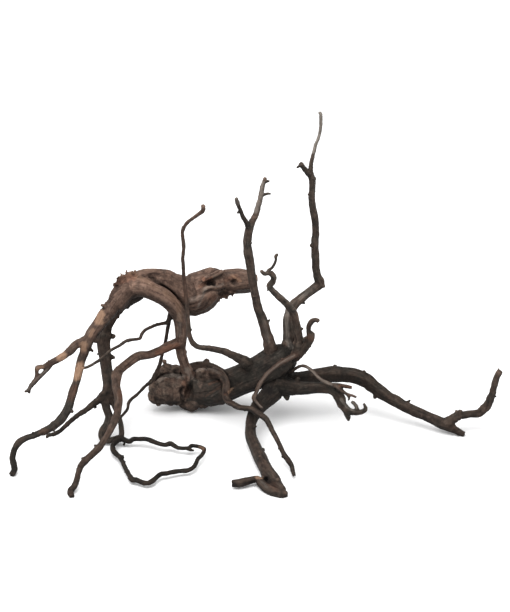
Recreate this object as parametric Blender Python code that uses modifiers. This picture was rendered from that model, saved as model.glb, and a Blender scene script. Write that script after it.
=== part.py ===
"""Black driftwood root: one grown piece of wood that stands on its burl, three root tips and a limb end.

Units are metres and +Z is up. The origin lies on the ground, under the middle of the root. The viewer's side
is -Y. The whole root is one closed solid in one object, driftwood_root.
"""

import math
import random

import bmesh
import bpy
from mathutils import Vector, kdtree, noise

MM = 0.001

# The branches were sighted from above the front. ACROSS and UP are millimetres on the sighting plane, which
# faces the eye, and DEPTH is how far the wood lies behind the front root tip. UP and DEPTH give the height
# above the ground as if all sight lines were parallel. The wood is then put on the eye's own sight line.
SIGHT_ELEVATION = math.radians(25)
SIGHT_DISTANCE = 2000.0
SIGHT_CENTRE = (255.0, 194.5)
SIGHT_PLANE_DEPTH = 95.0

# The point of the ground that becomes the origin, so that the root's box is centred on it.
ORIGIN = (257.8, 134.7)

# Skin: the size of the cells that fuse the branches, and the number of triangles that are kept.
SKIN_CELL = 0.9 * MM
SKIN_SMOOTHING = 3
TRIANGLES = 11300
GROUND_THICKNESS = 0.02

# Branches, each a centre line of (across, up, depth, radius) in millimetres, from its thick end to its tip.
# The radius is that of the bare wood, and BARK is the thickness of the bark over it. A line's points are
# LINE_STEP radii apart, and never closer than SHORTEST_STEP.
BARK = 0.3
LINE_STEP = 1.1
SHORTEST_STEP = 1.5 * MM
BRANCHES = {
    "trunk": (
        (196, 112, 214, 17), (212, 112, 211, 18), (226, 116, 208, 16), (239, 121, 204, 15.5),
        (252, 126, 201, 16.5), (264, 131, 198, 18), (276, 138, 196, 18), (287, 144.5, 195, 14),
        (294, 149, 193, 8),
    ),
    "back_root": (
        (180, 126, 232, 6), (190, 130.5, 236, 6.6), (197, 132, 238, 7.2), (205, 131.6, 238, 7.2),
        (213, 129.4, 235, 6.8), (221, 125.8, 229, 6.6), (230, 121, 220, 7),
    ),
    "column": (
        (191, 120, 212, 8), (187, 131, 209, 5.4), (182.3, 144, 206, 4.8), (180.8, 155, 204, 5.4),
        (181.4, 168, 202, 6.3), (181, 179, 199, 7), (178.5, 187, 196, 7.6), (174, 193.5, 193, 8.1),
        (168, 200, 190, 8.4), (160, 205.5, 187, 8.6), (151, 210, 185, 9), (142, 213.5, 183, 10),
        (131, 214, 181, 11.5),
    ),
    "log": (
        (131, 214, 182, 11), (141, 220, 190, 11), (152, 221.5, 197, 11.5), (165, 217, 206, 13),
        (179, 208.6, 213, 17.2), (192, 205.2, 219, 21.5), (204, 211, 221, 20.6), (213, 217, 223, 16.5),
        (222, 217.5, 226, 12.5), (231, 218, 229, 12), (240, 219, 232, 12), (248, 219, 235, 11.2),
        (254, 218.5, 237, 10.2),
    ),
    "log_lip": (
        (199, 203, 206, 2.2), (203.5, 210, 204, 2.8), (210, 213.2, 206.5, 2.8), (217, 212.8, 210.5, 2.8),
        (223, 215, 215.5, 2.6), (228, 213.5, 219, 2.2),
    ),
    "log_lid": (
        (222, 228.5, 224, 2.6), (217.5, 227, 215, 2.7), (212.5, 224.5, 210.5, 2.6), (207, 222.5, 208, 2.2),
        (202, 219, 205, 1.5),
    ),
    "junction_stub": (
        (141, 207, 187, 5.2), (134.5, 203, 185, 5.4), (128.5, 197, 183, 3.6), (126.5, 191.8, 182, 1.6),
    ),
    "left_limb": (
        (129, 213, 181, 12), (119, 201, 174, 10.3), (110, 190, 167, 8), (103, 181, 161, 6.6),
        (97, 173, 156, 6.2), (91, 165, 151, 6), (87, 157, 147, 5.4), (84.5, 149, 144, 4.5),
        (81.5, 140, 140, 4.3), (79, 130, 136, 4.2), (77, 120, 131, 3.9), (73.5, 110, 125, 4),
        (71, 101, 119, 4.1), (67.5, 91, 112, 4.2), (61, 81, 103, 4.2), (53, 74, 96, 3.9),
        (44, 69, 90, 3.4), (34, 65, 85, 2.9), (26, 62.5, 81, 2.9), (19, 58, 78, 3.1),
        (14.5, 50.5, 75, 2.9), (12.5, 42, 70, 2.9), (14, 35.5, 66, 3), (14.5, 30.5, 63, 2.9),
        (11.5, 25.5, 56, 2.8),
    ),
    "left_fork": (
        (91, 163, 151, 5.2), (83, 159, 148, 4.4), (76, 155.5, 145, 4), (70, 149.3, 142, 3.8),
        (63, 143.8, 139, 3.4), (56, 140, 136, 3.1), (50, 137, 133, 2.9), (44, 134, 131, 2),
        (37.5, 132.5, 129, 2.3), (36.8, 127, 127, 1.6), (36, 121, 125, 2),
    ),
    "left_fork_strand": (
        (51, 136.5, 133, 2.4), (47, 131, 130, 2), (42, 126, 127, 1.8), (36, 120.5, 124.5, 2.4),
        (31.5, 115.5, 122, 2.1), (28.5, 111, 119, 1.6), (24.5, 108.5, 116, 0.9),
    ),
    "left_fork_tip": ((29.5, 112.5, 120, 1.5), (29.2, 107, 118, 1.1)),
    "back_limb": (
        (129, 206, 186, 10), (119, 194, 184, 6.6), (111, 182, 182, 5.4), (106.3, 171, 180, 5.8),
        (104, 160, 177, 6.5), (104.5, 149, 173, 6), (105.8, 138, 169, 5.8), (107.5, 127, 164, 5.5),
        (108.5, 117, 160, 5.4), (107.5, 108, 156, 5.8),
    ),
    "back_limb_twig": (
        (107, 108, 157, 5.4), (100, 101.5, 153, 3.8), (93, 96.5, 149, 2.8), (86, 90.6, 145, 2.5),
        (79, 86.1, 141, 2.3), (72, 80.6, 137, 2.1), (66, 75.1, 132, 2), (60, 69.6, 127, 2),
        (54, 66.5, 122, 2), (48, 65, 118, 1.6), (46.8, 62, 116, 0.9),
    ),
    "back_limb_hook": (
        (107.5, 107, 157, 5.4), (105.5, 96, 152, 4.3), (107.8, 88, 148, 3.7), (109, 82.5, 145, 3.8),
        (107, 75.5, 141, 4), (103, 69.5, 138, 4.1), (102, 64.5, 136, 3.9), (105, 60.5, 133, 3.3),
        (110, 60, 131, 2.9), (116, 61.5, 130, 2.9), (121, 61, 129, 2.7),
    ),
    "back_limb_strut": (
        (109, 109, 157, 4.4), (113, 98, 152, 2.8), (117, 88, 147, 2.5), (120.5, 78, 141, 2.5),
        (121.5, 68, 135, 2.6), (121, 60, 130, 2.6),
    ),
    "ring": (
        (116, 62.4, 130, 2.9), (121, 61.9, 129, 2.7), (126, 59.9, 127, 2.4), (130, 58.9, 126, 2.3),
        (133.5, 61.2, 127, 2.2), (140, 61.4, 126, 2.2), (147, 61.2, 125, 2.2), (153, 59.2, 121, 2.2),
        (159, 56.9, 117, 2.2), (165, 55.7, 115, 2.1), (170.5, 56.9, 116, 2.3), (174, 54.9, 113, 2.2),
        (178.5, 52.7, 110, 1.9), (185, 52.4, 109, 1.8), (189.5, 52.9, 109, 1.8), (191.3, 54.9, 111, 1.8),
        (196.8, 54.4, 110, 1.8), (201.8, 52.9, 107, 1.8), (204.3, 50.4, 102, 1.9), (201.8, 45.4, 91, 1.8),
        (197.8, 41.4, 83, 1.9), (195.6, 36.4, 73, 2), (192.3, 32.4, 64, 2), (187, 29.9, 59, 2.1),
        (180, 29.4, 58, 2.1), (173, 28.4, 54.5, 2.1), (166, 26.9, 51, 2.1), (161, 26.4, 49.5, 2.2),
        (156, 22.9, 42, 2.2), (152, 19.4, 34.5, 2.4), (147, 17.2, 29.5, 2.3), (142, 18.4, 32.5, 2.2),
        (137, 20.4, 36.5, 2.3), (132, 21.4, 39.5, 2.6), (128.5, 26.9, 52, 2.1), (125, 33.4, 67, 2),
        (122, 39.9, 82, 2), (119.5, 43.9, 91, 2.3), (114.5, 48.4, 101, 2.4), (112.5, 52.4, 109, 2.4),
        (113.5, 56.4, 118, 2.4), (117.5, 59.9, 126, 2.4),
    ),
    "ring_barb": ((187, 51.7, 108, 1.6), (190.5, 50.7, 105, 1.3), (194, 50, 103, 0.9)),
    "ring_knuckle": ((120, 43, 91, 2.2), (124, 43.5, 92, 1.8)),
    "long_left_root": (
        (181, 158, 203, 6), (174, 156, 199, 5), (166, 152.5, 194, 4.6), (158, 148.5, 188, 4.2),
        (150, 145.7, 181, 4), (141, 144.8, 173, 4.2), (134, 141.5, 166, 4.5), (128, 137, 159, 4.5),
        (121.5, 132, 151, 4.3), (117, 126.5, 144, 4.9), (115.8, 119, 136, 4.5), (116.5, 111, 128, 4),
        (118.2, 103, 120, 3.8), (118.3, 96, 112, 3.6), (117.3, 88, 104, 3.5), (114.5, 79.5, 94, 3.4),
        (110.5, 71, 84, 3.2), (106, 63, 75, 3.2), (100.5, 55, 67, 3.1), (94, 48, 59, 3.2),
        (87.5, 42, 52, 3.3), (81.5, 35.5, 45, 3.1), (78.5, 28, 36, 2.7), (76.5, 20, 27, 2.6),
        (74, 14, 19, 2.8), (70.5, 9.5, 16, 3.1), (72, 4, 5.5, 2.2),
    ),
    "left_root_barb": ((87, 42.5, 53, 2), (81, 42, 52, 0.9)),
    "arch_twig": (
        (173, 192, 198, 4), (170.5, 185, 199, 3), (167.5, 178.5, 198, 2), (162, 176.8, 194, 1.6),
        (156, 175.5, 189, 1.5), (150, 173, 183, 1.5), (144.5, 170, 178, 1.5), (141.5, 166, 174, 1.5),
        (139.5, 162, 171, 1.5), (133, 161, 166, 1.5), (126, 159.5, 160, 1.5), (119.5, 155, 154, 1.4),
        (112, 151, 148, 1.4), (106, 146, 142, 1.3), (100, 141, 137, 1.3), (94, 137, 132, 1.3),
        (87.5, 133.5, 128, 1.2), (81.5, 132, 126, 1.1),
    ),
    "burl_twig": (
        (170.5, 186, 199, 2.4), (168.3, 176, 201, 1.9), (166.5, 165, 202, 1.7), (164.5, 155, 202, 1.7),
        (162, 145, 201, 1.7), (159.3, 135, 198, 1.9), (155.5, 125.5, 193, 2.3), (151, 119, 188, 1.9),
        (146, 115, 183, 1.5), (141, 110, 178, 1.4), (136, 105, 173, 1.4), (131, 101, 169, 1.5),
        (128.5, 97, 166, 1.5), (127.8, 92, 163, 1.4), (125, 88, 160, 1.3), (121.5, 84, 156, 1.2),
        (118.5, 81.5, 153, 1),
    ),
    "stem": (
        (254, 132, 196, 6.5), (247, 137, 190, 5.8), (239, 142, 187, 4.6), (231, 146, 184, 3.8),
        (223.5, 149.2, 182, 3.3),
        (215.5, 151, 180, 3), (208, 152.3, 179, 2.8), (201, 153, 178, 2.6), (195.5, 155, 178, 2.6),
        (191.5, 159.5, 178, 2.5), (189.5, 166, 179, 2.3), (188.5, 175, 180, 2.1), (187.8, 184, 181, 2),
        (187.2, 193, 182, 1.9), (186.3, 203, 182, 1.8), (184.9, 214, 182, 1.7), (184, 225, 182, 1.6),
        (183.3, 235, 181, 1.6), (182.9, 242, 180, 1.6), (183.6, 250, 179, 1.6), (183.7, 257, 178, 1.7),
        (182.7, 264, 177, 1.6), (182.6, 269, 176, 1.7), (184.6, 274, 174, 1.7), (188, 278.5, 172, 1.7),
        (193.5, 282.5, 169, 1.6), (199, 286.5, 166, 1.7), (203, 290, 164, 2), (203, 295.5, 163, 1.8),
    ),
    "left_upright": (
        (272, 146, 193, 8), (269.5, 158, 191, 6), (266.4, 168, 190, 5.2), (262.8, 180, 189, 4.8),
        (258.8, 191, 188, 4.4), (256, 201, 187, 4.1), (254, 211, 186, 4), (252.6, 220, 185, 4),
        (251.2, 230, 184, 4.1), (249.4, 240, 183, 4.1), (247.8, 249, 182, 4.1), (247.4, 258, 182, 4),
        (248.2, 266, 182, 4), (249.6, 272, 182, 4), (252, 278, 183, 3.3), (256, 286, 185, 2.8),
        (258.3, 294, 187, 2.6), (260.3, 301.5, 189, 2.4), (261.6, 309, 191, 2.2), (263, 315.5, 193, 2),
        (265.4, 323, 195, 1.5),
    ),
    "left_upright_arm": (
        (249, 271, 182, 3), (246.6, 278, 179, 2.3), (242.8, 284, 176, 2), (241, 289, 173, 1.8),
        (238.8, 294, 170, 1.8), (237, 299, 168, 1.9), (236.2, 302.5, 167, 1.4),
    ),
    "left_upright_barb_low": ((262, 305, 190, 1.3), (267, 306.7, 188, 1.1), (271, 306.5, 187, 0.8)),
    "left_upright_barb_top": ((264, 318, 194, 1.5), (266.5, 319, 193, 1.2), (269.5, 319.6, 192, 0.8)),
    "left_arm_barb": ((240, 289, 172, 1.4), (237, 287.5, 171, 0.9)),
    "tall_upright": (
        (289, 148, 196, 10), (289, 161, 197, 6.8), (289, 172, 199, 6), (289.4, 183, 201, 5.5),
        (291.5, 192, 204, 5), (297, 198.3, 207, 4.6), (303, 203.3, 210, 4.4), (309, 208, 213, 4.4),
        (315, 212.5, 216, 4.6), (319.8, 217, 218, 4.9), (318.2, 223.5, 218, 4.4), (316.3, 231, 217, 3.8),
        (315.8, 241, 216, 3.8), (315.2, 250, 215, 3.7), (315.2, 259, 214, 3.6), (315.8, 268, 213, 3.4),
        (315.6, 278, 212, 3.5), (314, 287, 211, 3.5), (312.2, 295, 211, 3.3), (311.8, 303, 211, 3.2),
        (312.2, 312, 211, 2.9), (312.2, 320, 212, 3.2), (310.7, 326.5, 213, 3), (310.6, 331, 214, 2.2),
        (311.2, 337, 215, 1.9), (312.7, 344, 217, 1.7), (314.3, 350, 218, 1.6), (315.5, 355.5, 220, 1.5),
        (317.9, 361, 221, 1.4), (319.6, 367, 223, 1.4), (320.5, 373, 224, 1.4), (320.9, 379.5, 225, 1.5),
        (320.6, 386.6, 226, 1.4), (318.4, 387.6, 226, 1.2),
    ),
    "tall_upright_stub": (
        (310.5, 325, 213, 3), (306.5, 329.5, 210, 2.5), (303, 333.5, 208, 2.3), (300.7, 337, 206, 2.2),
    ),
    "tall_stub_barb": ((300.3, 335, 206, 1.3), (296.5, 332.8, 204, 0.8)),
    "tall_upright_knob": ((313, 321.5, 211, 2), (315.8, 322, 210, 1.5)),
    "curly_upright": (
        (299, 149, 188, 8), (299, 160, 184, 5), (297.4, 171, 181, 4.1), (295.6, 181, 178, 3.9),
        (292.6, 189, 176, 3.8), (288.2, 195, 173, 3.4), (283, 200, 170, 3.2), (278, 204.5, 167, 3),
        (273.5, 209, 165, 2.8), (270, 212.8, 163, 2.8), (270, 216, 162, 2.9), (272.8, 219, 161, 2.9),
        (273.8, 222.8, 160, 2.8), (272.2, 226, 158, 2.6), (268.8, 227.5, 156, 2.3), (265, 226.6, 154, 1.9),
        (262.5, 228.2, 152, 1.6), (261, 230, 151, 1.1),
    ),
    "curly_upright_tip": (
        (269, 227.5, 156, 2), (268.6, 230.3, 156, 1.6), (271.8, 232.6, 157, 1.2), (274.3, 236.5, 158, 1.2),
        (275.9, 241, 159, 1.2), (275.9, 245, 160, 1.3), (278, 246, 161, 1.1),
    ),
    "hook_upright": (
        (295, 145, 186, 6.5), (301.5, 149, 181, 4.2), (306, 153.5, 177, 4), (309, 158.5, 174, 4.1),
        (310.8, 163, 172, 4.3), (310, 166.2, 171, 3.6), (308.9, 169, 170, 2.3), (308.8, 173, 169, 2.4),
        (310.2, 177, 167, 2.5), (313.2, 180, 165, 2.3), (316.6, 180.6, 163, 2.1), (319, 178.6, 162, 1.7),
    ),
    "hook_stub": ((309, 163, 172, 2.6), (303.5, 161.3, 174, 1.5)),
    "right_limb": (
        (284, 124, 200, 10), (294, 122.5, 202, 6.2), (304, 123.5, 204, 6), (314, 124.7, 205, 6.8),
        (324, 125.3, 206, 7.7), (334, 126.3, 206, 8.1), (344, 125.8, 206, 8), (354, 124.8, 204, 8.4),
        (363, 121.4, 202, 8.2), (371, 117, 199, 7.3), (379, 110, 195, 6.5), (387, 104.5, 190, 6.1),
        (396, 99.5, 185, 5.6), (405, 94.5, 180, 5.2), (414, 90, 175, 5), (423, 86, 170, 5),
        (432, 82, 165, 5.2), (440, 78.2, 161, 5.9), (447, 75.6, 158, 5.9), (453, 72, 155, 4.3),
        (458.5, 69, 154, 3.1), (464.5, 66, 152, 2.9),
    ),
    "right_limb_arm": (
        (445, 77, 158, 5.2), (451, 80.5, 159, 5), (456, 84, 161, 4.5), (461.5, 85.4, 164, 3.9),
        (468, 86.5, 166, 3.6), (474, 86.8, 167, 3.7), (479.5, 88, 167, 4), (484, 91.6, 166, 4.6),
        (488.2, 96, 165, 4.4), (490.6, 102, 163, 3.8), (492.8, 108.5, 160, 3.4), (494.5, 115.5, 157, 3.1),
        (496.2, 122, 154, 3.1), (498.4, 126.5, 152, 3.1), (500.2, 129.3, 151, 2.8),
    ),
    "right_arm_knob": ((457, 85, 161, 2), (456.4, 90, 160, 1.4)),
    "claw_limb": (
        (278, 117, 189, 12), (290, 113.5, 184, 8.5), (301, 112.5, 180, 6.6), (312, 113, 177, 5.9),
        (322, 112.8, 174, 5.6), (331, 111.8, 171, 5.4), (336.5, 108, 169, 5.1), (340.1, 101.5, 167, 5.2),
        (342.6, 95.5, 165, 4.4), (347.5, 90.2, 163.5, 3.8), (353.5, 88.3, 162, 2.9), (359.5, 88.2, 161, 2.4),
        (364, 89.6, 161, 2.2), (365.8, 91.8, 161, 1.8), (364.8, 95, 161.5, 1.3), (363.6, 97, 162, 0.9),
    ),
    "claw_spur": ((345.5, 92, 164, 4), (347.6, 85, 164, 2.8), (348.6, 79.6, 164, 0.9)),
    "claw_curl": (
        (357.5, 88.6, 162, 2.1), (356.4, 93.5, 163.5, 1.8), (354, 97, 164.5, 1.6), (351.2, 98.7, 165, 1.3),
    ),
    "claw_knob": ((286, 108, 184, 5), (287, 102.5, 182, 2.6), (287.5, 100, 181, 1.2)),
    "side_twig": (
        (286, 130, 190, 3.5), (291, 129, 187, 1.9), (295.5, 131.8, 184, 1.5), (300, 134.2, 182, 1.4),
        (304.5, 134.3, 180, 1.4), (309, 132, 177, 1.5), (313.2, 128.5, 174, 1.5), (317.3, 124, 170, 1.6),
        (322.3, 120, 167, 1.6), (328.3, 117, 164, 1.7), (334, 115, 162, 1.8), (339, 112.2, 160, 1.8),
        (343, 109, 159, 1.6), (347, 106.5, 158, 1.3), (352, 105, 157, 1.1), (356.5, 103.2, 156, 0.9),
    ),
    "side_twig_fork": ((346, 107, 158, 1.3), (349, 103, 157, 1), (348.5, 100, 157, 0.8)),
    "side_twig_branch": (
        (333, 116, 163, 1.7), (340, 115.4, 162, 1.7), (347, 114, 161, 1.7), (352, 113, 160, 1.5),
    ),
    "front_root": (
        (213, 126, 206, 7), (219.5, 125.8, 199, 5), (224.3, 121.2, 192, 4.1), (226.2, 115, 186, 3.8),
        (225.8, 109, 181, 3.6), (225.8, 103.8, 176, 3.4), (228, 99, 170, 3.1), (232.5, 96.8, 164, 2.9),
        (238.5, 93.6, 157, 2.7), (245.5, 92.4, 151, 2.6), (252, 91, 145, 2.8), (258, 87, 139, 3),
        (263, 84, 133, 2.8), (267.3, 79.5, 127, 2.6), (270, 74.3, 120, 2.3), (272.6, 69, 112, 2.2),
        (275.6, 63.5, 105, 2.2), (278.6, 57.5, 98, 2.2), (281.6, 51, 90, 2.2), (284.6, 45, 82, 2.3),
        (288.2, 40, 75, 2.4), (291.4, 35, 67, 2.3), (292.6, 30, 58, 2), (294.2, 24.8, 50, 1.6),
    ),
    "front_leg": (
        (276, 116, 191, 13), (269, 105.5, 180, 10), (260.8, 97, 170, 8.4), (254.8, 88.5, 159, 7),
        (250.8, 80, 149, 5.8), (250, 71.5, 137, 5.1), (251.1, 63.5, 123.5, 5.3), (254.8, 55, 107, 5.7),
        (258.2, 47, 90, 5.9), (262, 39, 72, 6.2), (266.6, 31, 55, 6.5), (271.5, 23, 38.5, 6.8),
        (276.5, 15.3, 24.5, 6.3), (281, 9.5, 14.3, 5.2), (285.5, 4.6, 6.2, 3.2),
    ),
    "side_foot": (
        (284, 5.5, 7.7, 3), (279, 7.5, 10.5, 4.4), (272.5, 9.8, 14.6, 4.5), (266.5, 12.8, 20.6, 4.2),
        (261.3, 17.6, 28.5, 3.8), (257.6, 21.4, 36.2, 3.1), (252, 20.9, 35, 3.4), (245.5, 19.3, 31.7, 3.7),
        (238.5, 17.7, 28.6, 3.9), (231.8, 17.3, 28, 3.6),
    ),
    "bark_twig": (
        (300, 147, 184, 5), (293, 144, 178, 3), (286.5, 140.3, 174, 2.5), (280, 136.7, 171, 2.2),
        (274, 132.4, 168, 2), (268.5, 127.6, 166, 1.9), (264, 122.5, 164, 1.9), (260.5, 117.3, 163, 2),
        (257.8, 112, 162, 1.9), (255.8, 107, 161, 1.9), (253.8, 102.5, 160, 2.2), (255.8, 99.2, 158, 1.5),
        (258.5, 95.6, 156, 1.3), (262.2, 92, 154, 1.3),
    ),
}

# Lumps of the burl, as (across, up, depth, radius) in millimetres: the lobe in front on the left, the one
# above and behind it, the blocky one on the right, and the core that carries them.
BURL_LUMPS = (
    (165, 110, 211, 14.8), (174.5, 110.3, 211, 14.3), (155.3, 104.3, 209, 8), (156.8, 112.5, 210, 8.6),
    (181, 115, 209, 9), (176.5, 101.5, 207, 6.8), (158.5, 96.8, 206, 2.6), (171, 99, 206, 5),
    (159.5, 122, 222, 8.5), (167, 128.3, 224, 9.4), (165.5, 135.3, 224, 3), (175, 126.3, 222, 10.4),
    (200.5, 126.8, 207, 6.4), (209, 124.5, 206, 6.5), (217, 121, 205, 6.8), (222, 116.5, 204, 6.2),
    (204, 113, 211, 16), (214, 112, 208, 13), (196, 104, 210, 11.5), (192.5, 97.4, 209, 8.2), (191.4, 91.8, 207, 3.6),
    (203, 101, 209, 9.4), (214, 104.5, 207, 9.5), (187, 105, 210, 7.5),
    (196, 109, 227, 16), (189, 103, 219, 13.2), (178, 112, 222, 15),
)

# Knots on the branches, and the knuckle where the limbs part, in the same way.
KNOTS = (
    (130.5, 213.5, 182, 12), (113, 164, 178, 2.6), (311.4, 255, 213, 1.8), (364, 128.5, 201, 2.4),
    (98.3, 146.5, 175, 1.6), (95, 93.5, 150, 1.7), (124, 56, 126, 1.5), (210, 226.6, 222, 7.4),
    (227, 206.5, 222, 4), (219, 205, 217, 3.6), (213, 203, 214, 3.4), (115.2, 215.8, 178, 2.6),
    (449, 77.5, 158, 6.2), (488, 90.6, 166, 2.2), (460, 88.6, 163, 2.6), (262.5, 50.5, 97, 2.4),
    (283, 43.8, 84, 1.6), (291.5, 36, 66, 1.7), (164.5, 139, 224, 2.6), (339, 112, 164, 3),
)

# Hollows, as (across, up, depth, radius, push) in millimetres, with the middle on the surface of the wood.
HOLLOWS = (
    (183.5, 110, 199, 6, 3.5), (160, 100, 204, 3.6, 1.5), (175, 97.5, 202, 3.6, 1.6),
    (176, 129, 214, 5, 2.5), (209, 217.6, 207, 3.8, 3.6), (213.5, 218, 209, 3.8, 3.6),
    (234.5, 219, 220, 4.5, 3.5), (265, 133, 184, 5, 2.5), (266, 109, 178, 4.5, 2.5),
    (217, 208.5, 212, 4.5, 2.5), (267.3, 20.5, 33, 4.2, 3.5), (226, 106.5, 178.5, 2.6, 1.5),
    (305.5, 166, 171, 2.4, 1),
)

# Grooves between forms that have grown together: the line of (across, up, depth), half width and depth.
GROOVES = (
    {"line": ((151, 224, 187), (157, 217.8, 189), (164, 212, 192), (171, 206.6, 195), (177, 201, 197)),
     "reach": 4.2, "push": 2.6},
    {"line": ((193, 124, 202), (188.5, 116, 199), (184.5, 108, 198), (182.5, 101, 200)),
     "reach": 4, "push": 2.2},
    {"line": ((151, 119.5, 215), (158, 122.5, 214), (168, 124.5, 213), (178, 125.5, 212)),
     "reach": 3, "push": 1.4},
    {"line": ((296, 150, 183), (294.5, 160, 181), (293, 170, 181), (292, 180, 181)), "reach": 3, "push": 1.2},
)

# Relief of the wood: lobes round each branch, swellings along it, and the uneven surface of the burl.
LOBES = ((3, 0.06, 60.0), (5, 0.04, -45.0))
SWELLING = 0.16
SWELLING_PITCH = 2.6
BURL_RELIEF = 1.0 * MM
BURL_CREASE = 0.4
CREASE_WIDTH = 0.18
BURL_PITCH = 16 * MM
BURL = -1
SEAM = 2.5 * MM

# Broken fibres: where a tuft stands, the way it points in the sighting plane, its length, count and thickness.
SPLINTER_TUFTS = (
    {"line": ((116, 213, 176), (121, 221, 178), (130, 224, 181), (137, 226, 184)), "points": (-0.35, 1.0),
     "length": 4.6, "count": 15, "thick": 1.3},
    {"line": ((213, 201, 214), (221, 203.5, 216), (237, 206, 221)), "points": (0.1, -1.0),
     "length": 4.0, "count": 7, "thick": 2.1},
)
SPLINTER_SEED = 7

# Nubs of lost twigs along the branches: the usual distance between two, and the thickest wood that has them.
NUB_GAP = 30 * MM
NUB_LIMIT = 8.5 * MM
NUB_SEED = 33


def placed(across, up, depth):
    """The real place, in metres, of wood that is seen at (across, up) and lies at depth."""
    sine, cosine = math.sin(SIGHT_ELEVATION), math.cos(SIGHT_ELEVATION)
    height = (up - depth * sine) / cosine
    middle, level = SIGHT_CENTRE
    eye = Vector((
        middle,
        level * sine + (SIGHT_PLANE_DEPTH - SIGHT_DISTANCE) * cosine,
        level * cosine - (SIGHT_PLANE_DEPTH - SIGHT_DISTANCE) * sine,
    ))
    seen = Vector((across, up * sine + SIGHT_PLANE_DEPTH * cosine, up * cosine - SIGHT_PLANE_DEPTH * sine))
    place = eye.lerp(seen, (height - eye.z) / (seen.z - eye.z))
    return (place - Vector((*ORIGIN, 0))) * MM


def smooth_line(knots):
    """Points (place, radius) along a smooth curve through the knots, about one radius apart."""
    ends = [knots[0], *knots, knots[-1]]
    line = []
    for before, start, end, after in zip(ends, ends[1:], ends[2:], ends[3:]):
        gap = (end[0] - start[0]).length
        steps = max(1, round(gap / max(LINE_STEP * min(start[1], end[1]), SHORTEST_STEP)))
        for step in range(steps):
            t = step / steps
            weights = (
                -0.5 * t + t * t - 0.5 * t ** 3,
                1 - 2.5 * t * t + 1.5 * t ** 3,
                0.5 * t + 2 * t * t - 1.5 * t ** 3,
                -0.5 * t * t + 0.5 * t ** 3,
            )
            four = (before, start, end, after)
            place = sum((w * k[0] for w, k in zip(weights, four)), Vector())
            line.append((place, sum(w * k[1] for w, k in zip(weights, four))))
    line.append(knots[-1])
    return line


def branch_line(points):
    return smooth_line([(placed(*point[:3]), (point[3] + BARK) * MM) for point in points])


def splinter_lines():
    """Short tapering fibres that stand along the line of each tuft, drawn with a seeded generator."""
    draw = random.Random(SPLINTER_SEED)
    for tuft in SPLINTER_TUFTS:
        line = [placed(*point) for point in tuft["line"]]
        across, up = tuft["points"]
        for number in range(tuft["count"]):
            t = (number + draw.random() * 0.8) / tuft["count"] * (len(line) - 1)
            base = line[int(t)].lerp(line[min(int(t) + 1, len(line) - 1)], t % 1)
            way = Vector((across + draw.uniform(-0.5, 0.5), draw.uniform(-0.5, 0.5), up)).normalized()
            length = tuft["length"] * draw.uniform(0.6, 1.3) * MM
            root = base - way * 4 * MM
            thick = tuft["thick"] * MM
            yield [(root, 2.0 * thick), (base, thick), (base + way * length, 0.5 * thick)]


def nub_lines(lines):
    """Short stubs of lost twigs, at uneven distances along the thinner branches."""
    for number, line in enumerate(lines.values()):
        draw = random.Random(NUB_SEED + number)
        left = NUB_GAP * draw.uniform(0.5, 1.2)
        for (before, _), (place, radius) in zip(line, line[1:]):
            left -= (place - before).length
            if left > 0:
                continue
            left = NUB_GAP * draw.uniform(0.5, 1.5)
            ahead = (place - before).normalized()
            way = Vector((draw.uniform(-1, 1), draw.uniform(-1, 1), draw.uniform(-1, 1)))
            way = (way - ahead * way.dot(ahead)).normalized()
            reach, width = draw.uniform(1.2, 1.7), draw.uniform(0.35, 0.55)
            if radius < NUB_LIMIT:
                yield [
                    (place, width * radius),
                    (place + way * radius * 0.8, width * radius),
                    (place + way * radius * reach + ahead * radius * 0.3, 0.5 * width * radius),
                ]


def add_body(name, mesh, collection):
    """Puts a closed mesh into the collection, with the doubled points of its caps merged."""
    body = bmesh.new()
    body.from_mesh(mesh)
    bmesh.ops.remove_doubles(body, verts=body.verts, dist=0.00001)
    body.to_mesh(mesh)
    body.free()
    collection.objects.link(bpy.data.objects.new(name, mesh))


def add_tube(name, line, collection):
    """A closed round tube along the line."""
    data = bpy.data.curves.new(name, "CURVE")
    data.dimensions = "3D"
    data.bevel_depth = 1.0
    data.bevel_resolution = 3
    data.use_fill_caps = True
    spline = data.splines.new("POLY")
    spline.points.add(len(line) - 1)
    for point, (place, radius) in zip(spline.points, line):
        point.co = (*place, 1)
        point.radius = radius
    curve = bpy.data.objects.new(name, data)
    bpy.context.scene.collection.objects.link(curve)
    bpy.context.view_layer.update()
    mesh = bpy.data.meshes.new_from_object(curve.evaluated_get(bpy.context.evaluated_depsgraph_get()))
    bpy.data.objects.remove(curve)
    add_body(name, mesh, collection)


def add_lump(across, up, depth, radius, collection):
    body = bmesh.new()
    bmesh.ops.create_icosphere(body, subdivisions=3, radius=radius * MM)
    bmesh.ops.translate(body, verts=body.verts, vec=placed(across, up, depth))
    mesh = bpy.data.meshes.new("lump")
    body.to_mesh(mesh)
    body.free()
    add_body("lump", mesh, collection)


def joined_wood(collection, lines):
    """All branches, lumps and splinters joined by one union into the root's object."""
    growth = bpy.data.collections.new("growth")
    bpy.context.scene.collection.children.link(growth)
    for name, line in lines.items():
        add_tube(name, line, growth)
    for line in [*splinter_lines(), *nub_lines(lines)]:
        add_tube("stub", line, growth)
    for lump in BURL_LUMPS + KNOTS:
        add_lump(*lump, growth)
    first = growth.objects[0]
    wood = bpy.data.objects.new("driftwood_root", first.data)
    collection.objects.link(wood)
    bpy.data.objects.remove(first)
    union = wood.modifiers.new("grown_together", "BOOLEAN")
    union.operation = "UNION"
    union.operand_type = "COLLECTION"
    union.collection = growth
    union.solver = "MANIFOLD"
    bake_modifiers(wood)
    for body in list(growth.objects):
        bpy.data.objects.remove(body)
    bpy.data.collections.remove(growth)
    return wood


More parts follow.
